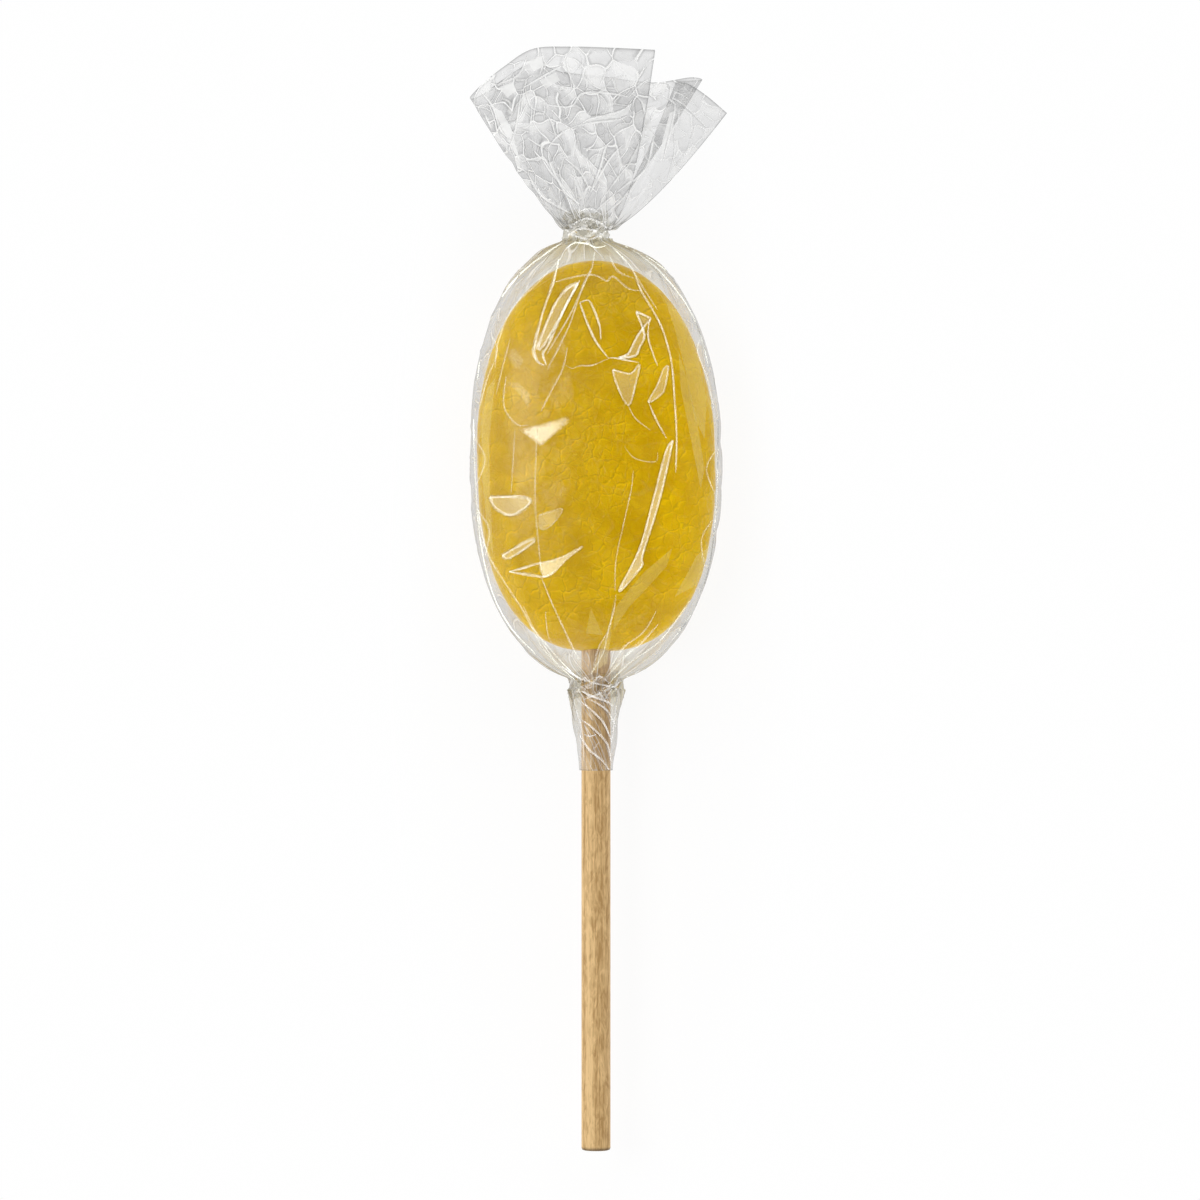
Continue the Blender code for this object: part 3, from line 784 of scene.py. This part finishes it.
def candy_height(x, y):
    """Height of the sweet's upper face over the dowel's axis, 0 outside its outline."""
    roundness = np.where(y > 0, CANDY_TOP_ROUNDNESS, CANDY_BOTTOM_ROUNDNESS)
    across = np.abs((x - CANDY_LEAN * y) / CANDY_HALF_WIDTH) ** roundness
    reach = (across + np.abs(y / CANDY_HALF_LENGTH) ** roundness) ** (1.0 / roundness)
    return CANDY_HALF_THICKNESS * bulge(np.minimum(reach, 1.0), CANDY_FACE_ROUNDNESS)


def build_candy(look):
    """The sweet: a pebble with soft lumps and dimples."""
    bm = bmesh.new()
    bmesh.ops.create_icosphere(bm, subdivisions=CANDY_SUBDIVISIONS, radius=1.0)
    for vert in bm.verts:
        out = vert.co.normalized()
        roundness = CANDY_TOP_ROUNDNESS if out.y > 0 else CANDY_BOTTOM_ROUNDNESS
        flat = abs(out.x / CANDY_HALF_WIDTH) ** roundness + abs(out.y / CANDY_HALF_LENGTH) ** roundness
        up = abs(out.z / CANDY_HALF_THICKNESS) ** CANDY_FACE_ROUNDNESS
        reach = (flat ** (CANDY_FACE_ROUNDNESS / roundness) + up) ** (-1.0 / CANDY_FACE_ROUNDNESS)
        lump = noise.noise(out * 2.6) * CANDY_LUMP + noise.noise(out * 14.0) * CANDY_DIMPLE
        point = out * (reach - CANDY_LUMP + lump)
        vert.co = Vector((point.x + CANDY_LEAN * point.y, point.y, point.z + AXIS_Z))
    mesh = bpy.data.meshes.new("sweet")
    bm.to_mesh(mesh)
    bm.free()
    return add_object("sweet", mesh, look)


def pouch_section(y):
    """Half-width, half-thickness and middle x of the film at each height."""
    upward = y > POUCH_WIDEST_Y
    length = np.where(upward, POUCH_UPPER_LENGTH, POUCH_LOWER_LENGTH)
    roundness = np.where(upward, POUCH_UPPER_ROUNDNESS, POUCH_LOWER_ROUNDNESS)
    share = (y - POUCH_WIDEST_Y) / length
    wide = POUCH_HALF_WIDTH * bulge(share, roundness)
    thick = POUCH_HALF_THICKNESS * bulge(share, POUCH_FACE_ROUNDNESS)
    down = np.clip((NECK_Y - y) / (NECK_Y - SKIRT_END_Y), 0.0, 1.0)
    skirt_wide = NECK_HALF_WIDTH + (SKIRT_HALF_WIDTH - NECK_HALF_WIDTH) * down
    skirt_thick = NECK_HALF_THICKNESS + (SKIRT_HALF_WIDTH - NECK_HALF_THICKNESS) * down
    wide = larger_of(wide, np.where(upward, TWIST_HALF_WIDTH, skirt_wide))
    thick = larger_of(thick, np.where(upward, TWIST_HALF_THICKNESS, skirt_thick))
    middle = POUCH_SHIFT_X * smooth_step(y / POUCH_SHIFT_LENGTH)
    middle += (TWIST_X - POUCH_SHIFT_X) * smooth_step((y - TWIST_LOW_Y) / TWIST_TURN + 1.0)
    return wide, thick, middle


def folds(angle, count, seed):
    """Sharp folds that stand out round a sheet, uneven in place and height."""
    rng = np.random.default_rng(seed)
    total = np.zeros(angle.shape)
    for index in range(count):
        centre = 2.0 * math.pi * (index + rng.uniform(-0.35, 0.35)) / count
        height = rng.uniform(0.35, 1.0)
        width = rng.uniform(0.35, 0.75) * math.pi / count
        away = np.abs((angle - centre + math.pi) % (2.0 * math.pi) - math.pi)
        total = np.maximum(total, height * np.maximum(0.0, 1.0 - away / width))
    return total


def build_pouch(look):
    """The film round the sweet, with the gathers of both twists and the skirt on the dowel."""
    right = np.linspace(-math.pi / 2, 0.0, POUCH_BACK_COLUMNS, endpoint=False)
    top = np.linspace(0.0, math.pi, POUCH_TOP_COLUMNS, endpoint=False)
    left = np.linspace(math.pi, math.pi * 1.5, POUCH_BACK_COLUMNS, endpoint=False)
    turns = np.concatenate([right, top, left])
    heights = np.linspace(SKIRT_END_Y, TWIST_LOW_Y + 0.0010, POUCH_ROWS)
    turn, y = np.meshgrid(turns, heights)
    wide, thick, middle = pouch_section(y)
    power = 2.0 + (POUCH_SECTION_ROUNDNESS - 2.0) * smooth_step(wide, *POUCH_FLATTENING)
    round_out = (np.abs(np.cos(turn)) ** power + np.abs(np.sin(turn)) ** power) ** (-1.0 / power)
    below = np.clip((NECK_Y - y) / (NECK_Y - SKIRT_END_Y), 0.0, 1.0)
    spin = SKIRT_TURNS * 2.0 * math.pi * below
    near_top = np.exp(-np.abs(TWIST_LOW_Y - y) / TOP_GATHER_REACH)
    tight_top = np.exp(-np.abs(TWIST_LOW_Y - y) / TOP_TINT_REACH)
    near_neck = np.exp(-np.abs(NECK_Y - y) / NECK_GATHER_REACH)
    sway = 0.10 * np.sin(y * 260.0)
    gathers = 0.26 * near_top * folds(turn + sway, *TOP_GATHERS)
    gathers += 0.24 * near_neck * folds(turn + spin + sway, *NECK_GATHERS)
    gathers += 0.16 * smooth_step(below * 4.0) * (1.0 - 0.7 * below) * folds(turn + spin, *SKIRT_FOLDS)
    gathers -= 0.10 * near_top + 0.08 * near_neck * (below <= 0)
    x = middle + wide * (1.0 + gathers) * round_out * np.cos(turn)
    z = AXIS_Z + thick * (1.0 + gathers) * round_out * np.sin(turn)
    points = np.stack([x, y, z], axis=-1)
    normals = grid_normals(points, True)

    round_length = turn / (2.0 * math.pi) * POUCH_GIRTH
    over_sweet = smooth_step(candy_height(x, y) / (0.30 * CANDY_HALF_THICKNESS))
    gap, tilt = crumple(points, POUCH_CELL)
    calm = (1.0 - 0.75 * over_sweet) * smooth_step(wide / POUCH_HALF_WIDTH)
    lift = 0.10 * tilt * gap * calm + 0.00008 * calm * ridge(gap, 0.0004)
    points += normals * lift[..., None]
    floor = AXIS_Z + candy_height(points[..., 0], points[..., 1]) + FILM_CLEARANCE
    covered = (z > AXIS_Z) & (over_sweet > 0)
    points[..., 2] = np.where(covered, np.maximum(points[..., 2], floor), points[..., 2])
    points[..., 2] = np.maximum(points[..., 2], FLOOR_GAP)

    under = smooth_step(AXIS_Z - z, -POUCH_UNDER, POUCH_UNDER)
    clinging = np.maximum(smooth_step(x, *CLINGING_X), smooth_step(y, *CLINGING_Y))
    marks = {
        "haze_and_glint": 0.05 * near_top * (1.0 - over_sweet) + 0.02 * (1.0 - over_sweet),
        # Painted shade along the skirt's cut edge, and a plain slight darkening of the film off the sweet
        "dark": 0.30 * ridge(y - SKIRT_END_Y, 0.0002) + 0.02 * (1.0 - over_sweet) * (below <= 0),
        # Painted reflection of the sweet's and the dowel's yellow in the film gathered at both twists
        "painted_warmth": 0.23 * tight_top + 0.12 * near_neck,
        "fold": -0.24 * over_sweet * clinging,
        "net": (0.60 - 0.10 * smooth_step(4.0 * below)) * (1.0 - 0.96 * over_sweet) * (1.0 - 0.5 * under),
    }
    stretch = np.maximum(0.28, wide / POUCH_HALF_WIDTH)
    height = np.cumsum(stretch, axis=0) * (heights[1] - heights[0])
    flat = np.stack([round_length + spin / (2.0 * math.pi) * POUCH_GIRTH, height, 0.0 * y], axis=-1)
    wander = 0.035 * over_sweet * tilt * smooth_step(gap / 0.0012)
    vectors = {"lean": np.stack([wander, 0.0 * y, 0.0 * y], axis=-1), "flat": flat}
    return sheet_object("film_pouch", points, marks, vectors, look, True)


def curve_point(before, start, end, after, part):
    """A point of the Catmull-Rom curve from start to end, at a part of the way."""
    bend = 2.0 * before - 5.0 * start + 4.0 * end - after
    twist = 3.0 * start - before - 3.0 * end + after
    return 0.5 * (2.0 * start + (end - before) * part + bend * part**2 + twist * part**3)


def rim_curve(across):
    """Points of the Catmull-Rom curve through the tuft's rim."""
    rim = np.array(TUFT_RIM)
    place = across * (len(rim) - 1)
    index = np.minimum(place.astype(int), len(rim) - 2)
    part = (place - index)[..., None]
    before = rim[np.maximum(index - 1, 0)]
    after = rim[np.minimum(index + 2, len(rim) - 1)]
    return curve_point(before, rim[index], rim[index + 1], after, part)


def build_tuft(look):
    """The fan of film above the upper twist, open at its rim and along two free edges."""
    across, along = np.meshgrid(np.linspace(0.0, 1.0, TUFT_COLUMNS), np.linspace(0.0, 1.0, TUFT_ROWS))
    rim = rim_curve(across)
    turn = np.radians(TUFT_START_DEG + TUFT_SWEEP_DEG * across)
    flare = 1.26 + 0.75 * np.exp(-((across / 0.10) ** 2)) + 0.02 * across
    pleats = 0.55 * folds(across * 2.0 * math.pi, *TUFT_PLEATS) - 0.25
    tight = np.exp(-along / 0.16)
    root_x = TWIST_X + TWIST_HALF_WIDTH * np.cos(turn) * (1.0 + pleats * tight)
    root_z = AXIS_Z + TWIST_HALF_THICKNESS * np.sin(turn) * (1.0 + pleats * tight)
    x = root_x + (rim[..., 0] - root_x) * along
    y = TWIST_HIGH_Y + (rim[..., 1] - TWIST_HIGH_Y) * along**flare
    z = root_z + (rim[..., 2] - root_z) * along
    points = np.stack([x, y, z], axis=-1)
    normals = grid_normals(points, False)

    steps = np.linalg.norm(np.diff(rim[0], axis=0), axis=1)
    u = np.concatenate([[0.0], np.cumsum(steps)]) + 0.0 * across
    width = u[0, -1]
    v = along * TUFT_CUT_LENGTH
    gap, tilt = crumple(np.stack([u, v, 0.0 * u], axis=-1), TUFT_CELL)
    flap = smooth_step(across, *TUFT_FLAP)
    free = smooth_step(along / 0.25) * (1.0 - 0.85 * flap)
    lift = 0.12 * tilt * gap * free
    lift += 0.0007 * (pleats + 0.25) * tight * smooth_step(along / 0.03)
    edge = np.minimum(np.minimum(u, width - u), (1.0 - along) * TUFT_CUT_LENGTH)
    points += normals * lift[..., None]
    points[..., 2] = np.maximum(points[..., 2], 2.0 * FLOOR_GAP)
    marks = {
        "haze_and_glint": 0.04 * tight,
        # Painted shade along the cut edges, and a plain darkening of the flap
        "dark": 0.42 * ridge(edge, 0.00022) + 0.10 * flap,
        # Painted reflection of the sweet's yellow in the film bunched at the root
        "painted_warmth": 0.06 * tight**2,
        "fold": np.zeros(u.shape),
        "net": 1.0 - 0.55 * flap,
    }
    drawn_out = TUFT_CUT_LENGTH * along**1.7
    vectors = {"lean": np.zeros(points.shape), "flat": np.stack([u, drawn_out, 0.0 * u], axis=-1)}
    return sheet_object("film_tuft", points, marks, vectors, look, False)


def straight_path(path):
    """Points close together on a path of straight stretches of the photograph, in metres."""
    corners = at_pixels(path)
    points = []
    for start, end in zip(corners, corners[1:]):
        steps = max(2, int(np.hypot(*(end - start)) / PATH_SPACING))
        points += [start + (end - start) * step / steps for step in range(steps)]
    points.append(corners[-1])
    return np.array(points)


def smooth_path(path):
    """Points close together on the curve through a path of the photograph, in metres."""
    corners = at_pixels(path)
    count = len(corners) - 1
    lengths = np.hypot(*(corners[1:] - corners[:-1]).T)
    steps = [max(2, int(length / PATH_SPACING)) for length in lengths]
    points = []
    for index in range(count):
        before = corners[max(index - 1, 0)]
        start, end = corners[index], corners[index + 1]
        after = corners[min(index + 2, count)]
        parts = np.arange(steps[index]) / steps[index]
        points += [curve_point(before, start, end, after, part) for part in parts]
    points.append(corners[-1])
    return np.array(points)


def film_tree(sheets):
    """A tree for finding the film's upper side."""
    verts, faces = [], []
    for sheet in sheets:
        base = len(verts)
        verts += [vert.co.copy() for vert in sheet.data.vertices]
        faces += [[base + index for index in face.vertices] for face in sheet.data.polygons]
    return BVHTree.FromPolygons(verts, faces)


def drape(tree, x, y, height):
    """The point at a height over the film's upper side, and the film's normal there."""
    place, normal = tree.ray_cast(Vector((x, y, DROP_HEIGHT)), Vector((0, 0, -1)))[:2]
    if place is None:
        return None, None
    return (x, y, place.z + height), normal if normal.z > 0 else -normal


def add_marked_object(name, verts, faces, marks, lean, look):
    """An object of pieces that lie on the film, with their marks."""
    mesh = bpy.data.meshes.new(name)
    mesh.from_pydata(verts, [], faces)
    blank = np.zeros(len(verts))
    marks = {label: np.array(marks.get(label, blank)) for label in ("haze_and_glint", "dark", "fold", "net")}
    mark_mesh(mesh, marks, {"lean": np.array(lean), "flat": np.array(verts)})
    return add_object(name, mesh, look)


def build_creases(name, paths, tree, look, shine, whiteness):
    """Sharp folds of the film, each a thin lit ridge along its path with a painted shadow line beside it.

    The crest's whiteness is partly whitened film and partly painted highlight.
    """
    verts, faces, haze_and_glint, dark, fold, lean = [], [], [], [], [], []
    target = lit_normal(LEFT_BOX)
    for path, strength in paths:
        line = smooth_path(path)
        along = np.gradient(line, axis=0)
        along /= np.linalg.norm(along, axis=1, keepdims=True)
        loop = path[0] == path[-1]
        # The painted shadow line goes on the side picked by the bearing of the left softbox
        turning = -along.mean(axis=0) @ (target[1], -target[0])
        if loop:
            turning = np.cross(line[:-1], line[1:]).sum()
        away = 1.0 if turning < 0 else -1.0
        rows = []
        for index, (place, way) in enumerate(zip(line, along)):
            ends = 1.0 if loop else min(index, len(line) - 1 - index) / CREASE_TAPER
            size = (0.35 + 0.65 * min(1.0, ends)) * (0.35 + 0.65 * strength)
            row = []
            for side, rise, white, painted_shadow in CREASE_PROFILE:
                x = place[0] - way[1] * side * away * CREASE_HALF_WIDTH * size
                y = place[1] + way[0] * side * away * CREASE_HALF_WIDTH * size
                point, normal = drape(tree, x, y, CREASE_GAP + rise * CREASE_HEIGHT)
                if point is None:
                    break
                row.append(len(verts))
                verts.append(point)
                uneven = 0.6 + 0.4 * smooth_step(0.5 + 1.6 * noise.noise(Vector((x, y, 0.0)) * 420.0))
                # Painted highlight along the crest, partly whitened film, and painted shadow beside it
                haze_and_glint.append(white * whiteness * strength * uneven)
                dark.append(painted_shadow * strength)
                fold.append(strength * uneven * shine)
                lean.append((4.0 * target - np.array(normal)) * (white > 0) * (shine > 0))
            rows.append(row if len(row) == len(CREASE_PROFILE) else None)
        for low, high in zip(rows, rows[1:]):
            if low and high and abs(verts[low[2]][2] - verts[high[2]][2]) < CREASE_STEP:
                faces += [[low[k], low[k + 1], high[k + 1], high[k]] for k in range(len(CREASE_PROFILE) - 1)]
    return add_marked_object(name, verts, faces, {"haze_and_glint": haze_and_glint, "dark": dark, "fold": fold}, lean, look)


def build_facets(name, facets, tree, look):
    """Small facets between folds, each with its whiteness, its share of light and how its edge is.

    Their whiteness is painted: highlights on the tuft's facets, and sheen where the film lies double.
    """
    verts, faces, haze_and_glint, fold, lean = [], [], [], [], []
    target = lit_normal(LEFT_BOX)
    for outline, white, shine, soft in facets:
        closed = straight_path(outline + outline[:1])[:-1]
        low, high = closed.min(axis=0), closed.max(axis=0)
        steps = [np.arange(low[k], high[k], FACET_SPACING) for k in (0, 1)]
        inner = np.stack(np.meshgrid(*steps), axis=-1).reshape(-1, 2)
        inner = inner[depth_inside(inner[:, 0], inner[:, 1], closed) > FACET_SPACING / 2]
        flat = [Vector(point) for point in np.concatenate([closed, inner])]
        points, _, triangles = delaunay_2d_cdt(flat, [], [list(range(len(closed)))], 1, 1e-7)[:3]
        centre = closed.mean(axis=0)
        axis = np.linalg.svd(closed - centre)[2][0]
        axis *= 1.0 if axis[1] > 0 else -1.0
        reach = np.abs((closed - centre) @ axis).max()
        base = len(verts)
        spots = np.array([tuple(point) for point in points])
        depth = depth_inside(spots[:, 0], spots[:, 1], closed)
        fades = smooth_step(depth / FACET_SOFT_EDGE) if soft else np.ones(len(spots))
        slope = FACET_FADE * (2.0 if soft else 1.0)
        for spot, fade in zip(spots, fades):
            point, normal = drape(tree, spot[0], spot[1], FACET_GAP)
            verts.append(point)
            fold.append(fade * shine * (0.8 - slope * (spot - centre) @ axis / reach))
            # Whiteness, which is painted light: highlights on the tuft, sheen on double film
            haze_and_glint.append(white * fade)
            lean.append((2.0 * target - np.array(normal)) * (shine > 0) * fade)
        faces += [[base + index for index in face] for face in triangles]
    return add_marked_object(name, verts, faces, {"haze_and_glint": haze_and_glint, "fold": fold}, lean, look)


def build_collar(name, look, middle_x, low_y, high_y, half_width, half_thickness):
    """A tight twist of bunched film, with its folds wound round it."""
    turn, along = np.meshgrid(
        np.linspace(0.0, 2.0 * math.pi, COLLAR_COLUMNS, endpoint=False), np.linspace(0.0, 1.0, COLLAR_ROWS)
    )
    spin = COLLAR_TWIST * along
    swell = 0.84 + 0.16 * np.maximum(0.0, np.sin(math.pi * along)) ** 0.7
    ridges = 0.16 * folds(turn + spin, *KNOT_FOLDS) + 0.08 * folds(turn - 0.7 * spin, *KNOT_CROSS_FOLDS)
    reach = swell * (0.90 + ridges)
    x = middle_x + half_width * reach * np.cos(turn)
    y = low_y + (high_y - low_y) * (along + 0.05 * np.sin(3.0 * turn + 1.0))
    z = AXIS_Z + half_thickness * reach * np.sin(turn)
    points = np.stack([x, y, z], axis=-1)
    # Painted highlight on the fold crests, painted shade in the hollows, and a painted yellow reflection
    shade = smooth_step(ridges / 0.22)
    marks = {
        "haze_and_glint": 0.05 + 0.50 * shade**4,
        "dark": 0.03 + 0.08 * (1.0 - shade),
        "painted_warmth": np.full(x.shape, 0.09),
        "fold": np.full(x.shape, 1.0),
        "net": np.zeros(x.shape),
    }
    return sheet_object(name, points, marks, {"lean": np.zeros(points.shape), "flat": points}, look, True)


def wall_material():
    """A matt white that also gives some light, less of it towards the right."""
    nodes = Nodes("pale_wall")
    matt = nodes.add("BsdfDiffuse", {"Color": WALL_COLOUR})
    right = nodes.add("SeparateXYZ", {"Vector": nodes.place()}).outputs["X"]
    strength = nodes.times_plus(right, -WALL_FALL, WALL_GLOW)
    return nodes.finish(nodes.summed(matt, nodes.glow(strength)))


def floor_material():
    """A pale floor that takes soft shadows near the lollipop and is evenly bright farther out."""
    nodes = Nodes("pale_floor")
    oval = {"Vector": nodes.place(), "Location": (0.0, 0.24, 0.0), "Scale": (29.0, 8.0, 0.0)}
    spot = nodes.add("Mapping", oval).outputs[0]
    reach = nodes.add("VectorMath", {0: spot}, operation="LENGTH").outputs["Value"]
    matt = nodes.add("BsdfDiffuse", {"Color": FLOOR_COLOUR})
    shaded = nodes.summed(matt, nodes.glow(FLOOR_GLOW))
    return nodes.finish(nodes.mixed(nodes.stepped(reach, 1.25, 0.95), nodes.glow(FLOOR_FAR_GLOW), shaded))


def stage_piece(name, bm, look, height):
    """One part of the studio, from modelled geometry."""
    mesh = bpy.data.meshes.new(name)
    bm.to_mesh(mesh)
    bm.free()
    mesh.materials.append(look)
    obj = bpy.data.objects.new(name, mesh)
    obj.location.z = height
    bpy.context.scene.collection.objects.link(obj)


def build_stage():
    """A plain pale floor inside a pale round wall."""
    bm = bmesh.new()
    bmesh.ops.create_circle(bm, cap_ends=True, segments=STAGE_SIDES, radius=STAGE_RADIUS)
    stage_piece("floor", bm, floor_material(), -FLOOR_GAP)
    bm = bmesh.new()
    radii = dict(radius1=STAGE_RADIUS, radius2=STAGE_RADIUS)
    bmesh.ops.create_cone(bm, cap_ends=False, segments=STAGE_SIDES, depth=WALL_HEIGHT, **radii)
    stage_piece("wall", bm, wall_material(), WALL_HEIGHT / 2)


def direction_to(azimuth, from_top):
    """A unit vector towards a bearing and an angle from straight up, both in degrees."""
    bearing, tip = math.radians(azimuth), math.radians(from_top)
    return Vector((math.cos(bearing) * math.sin(tip), math.sin(bearing) * math.sin(tip), math.cos(tip)))


def softbox(name, azimuth, from_top, size, radiance):
    """A square area light aimed at the sweet, placed by its bearing and its angle from straight up."""
    light = bpy.data.lights.new(name, "AREA")
    light.shape = "RECTANGLE"
    light.size, light.size_y = size
    light.energy = radiance * math.pi * size[0] * size[1]
    obj = bpy.data.objects.new(name, light)
    away = direction_to(azimuth, from_top)
    obj.location = away * BOX_DISTANCE
    obj.rotation_euler = away.to_track_quat("Z", "Y").to_euler()
    obj.visible_camera = False
    bpy.context.scene.collection.objects.link(obj)


def lit_normal(box):
    """The normal of a facet that shows a light to someone looking straight down."""
    away = direction_to(box["azimuth"], box["from_top"])
    half = np.array(away) + np.array((0.0, 0.0, 1.0))
    return half / np.linalg.norm(half)


def build_light():
    """Soft light from all sides, and nothing straight above."""
    for box in (LEFT_BOX, RIGHT_BOX, FAR_BOX, NEAR_BOX):
        softbox(**box)
    world = bpy.data.worlds.new("studio")
    world.use_nodes = True
    world.node_tree.nodes["Background"].inputs["Color"].default_value = WORLD_COLOUR
    bpy.context.scene.world = world
    bpy.context.scene.view_settings.view_transform = "Standard"


def build_camera():
    """A long lens straight above, framed as the photograph."""
    data = bpy.data.cameras.new("camera")
    camera = bpy.data.objects.new("camera", data)
    half_frame = FRAME_PX / 2 * PIXEL
    data.sensor_width = SENSOR_WIDTH_MM
    data.lens = SENSOR_WIDTH_MM / 2 * (CAMERA_HEIGHT - AXIS_Z) / half_frame
    middle = at_pixels([(FRAME_PX / 2, FRAME_PX / 2)])[0]
    camera.location = (middle[0], middle[1], CAMERA_HEIGHT)
    bpy.context.scene.collection.objects.link(camera)
    bpy.context.scene.camera = camera


def build_film():
    """All the pieces of film, with the creases and facets laid on the sheets."""
    film = film_material("clear_film", 0.94, 0.0062)
    folded = film_material("clear_film_folded", **FOLDED_FILM)
    gleaming = film_material("clear_film_gleam", gleam=YELLOWED_GLEAM, **FOLDED_FILM)
    # Painted sheen where the film lies double over the sweet
    veiled = film_material("clear_film_layer_sheen", milk=PAINTED_SHEEN_YELLOW, **FOLDED_FILM)
    open_film = film_material("clear_film_tuft", 0.935, 0.0046, waviness=0.15, glint=0.48, most=0.12)
    pouch = build_pouch(film)
    tuft = build_tuft(open_film)
    top_knot = build_collar("film_knot_top", film, **TOP_KNOT)
    low_knot = build_collar("film_knot_low", film, **LOW_KNOT)
    tree = film_tree((pouch, tuft, top_knot))
    edges = tuple((outline + outline[:1], edge) for outline, fill, edge in GLINTS_PX if edge)
    glints = [(outline, 0.0, FACET_SHINE * fill, not edge) for outline, fill, edge in GLINTS_PX]
    # Painted highlights: white patches on the tuft, without gloss
    tuft_glints = [(outline, TUFT_GLINT_WHITENESS, 0.0, False) for outline in TUFT_GLINTS_PX]
    veils = [(outline, VEIL_PAINTED_SHEEN, 0.0, False) for outline in VEILS_PX]
    return [
        pouch,
        tuft,
        top_knot,
        low_knot,
        build_creases("film_creases", CREASES_PX + edges, tree, gleaming, shine=0.9, whiteness=0.28),
        build_creases("film_knot_creases", KNOT_CREASES_PX, tree, folded, shine=0.6, whiteness=0.45),
        # The tuft's creases are white only: partly whitened film and partly painted highlight
        build_creases("film_tuft_creases", TUFT_CREASES_PX, tree, folded, shine=0.0, whiteness=0.95),
        build_facets("film_facets", glints, tree, gleaming),
        build_facets("film_tuft_facets", tuft_glints, tree, folded),
        build_facets("film_double_layer_sheen", veils, tree, veiled),
    ]


def main():
    """Dresses the frame and sets up the studio."""
    build_camera()
    build_light()
    build_stage()
    pieces = build_film()
    sweet = build_candy(candy_material())
    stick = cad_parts["stick"]
    stick.data.materials.clear()
    stick.data.materials.append(wood_material())
    for piece in pieces:
        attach(piece, "root")
        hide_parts("film")
    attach(sweet, "root")
    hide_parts("candy")


main()
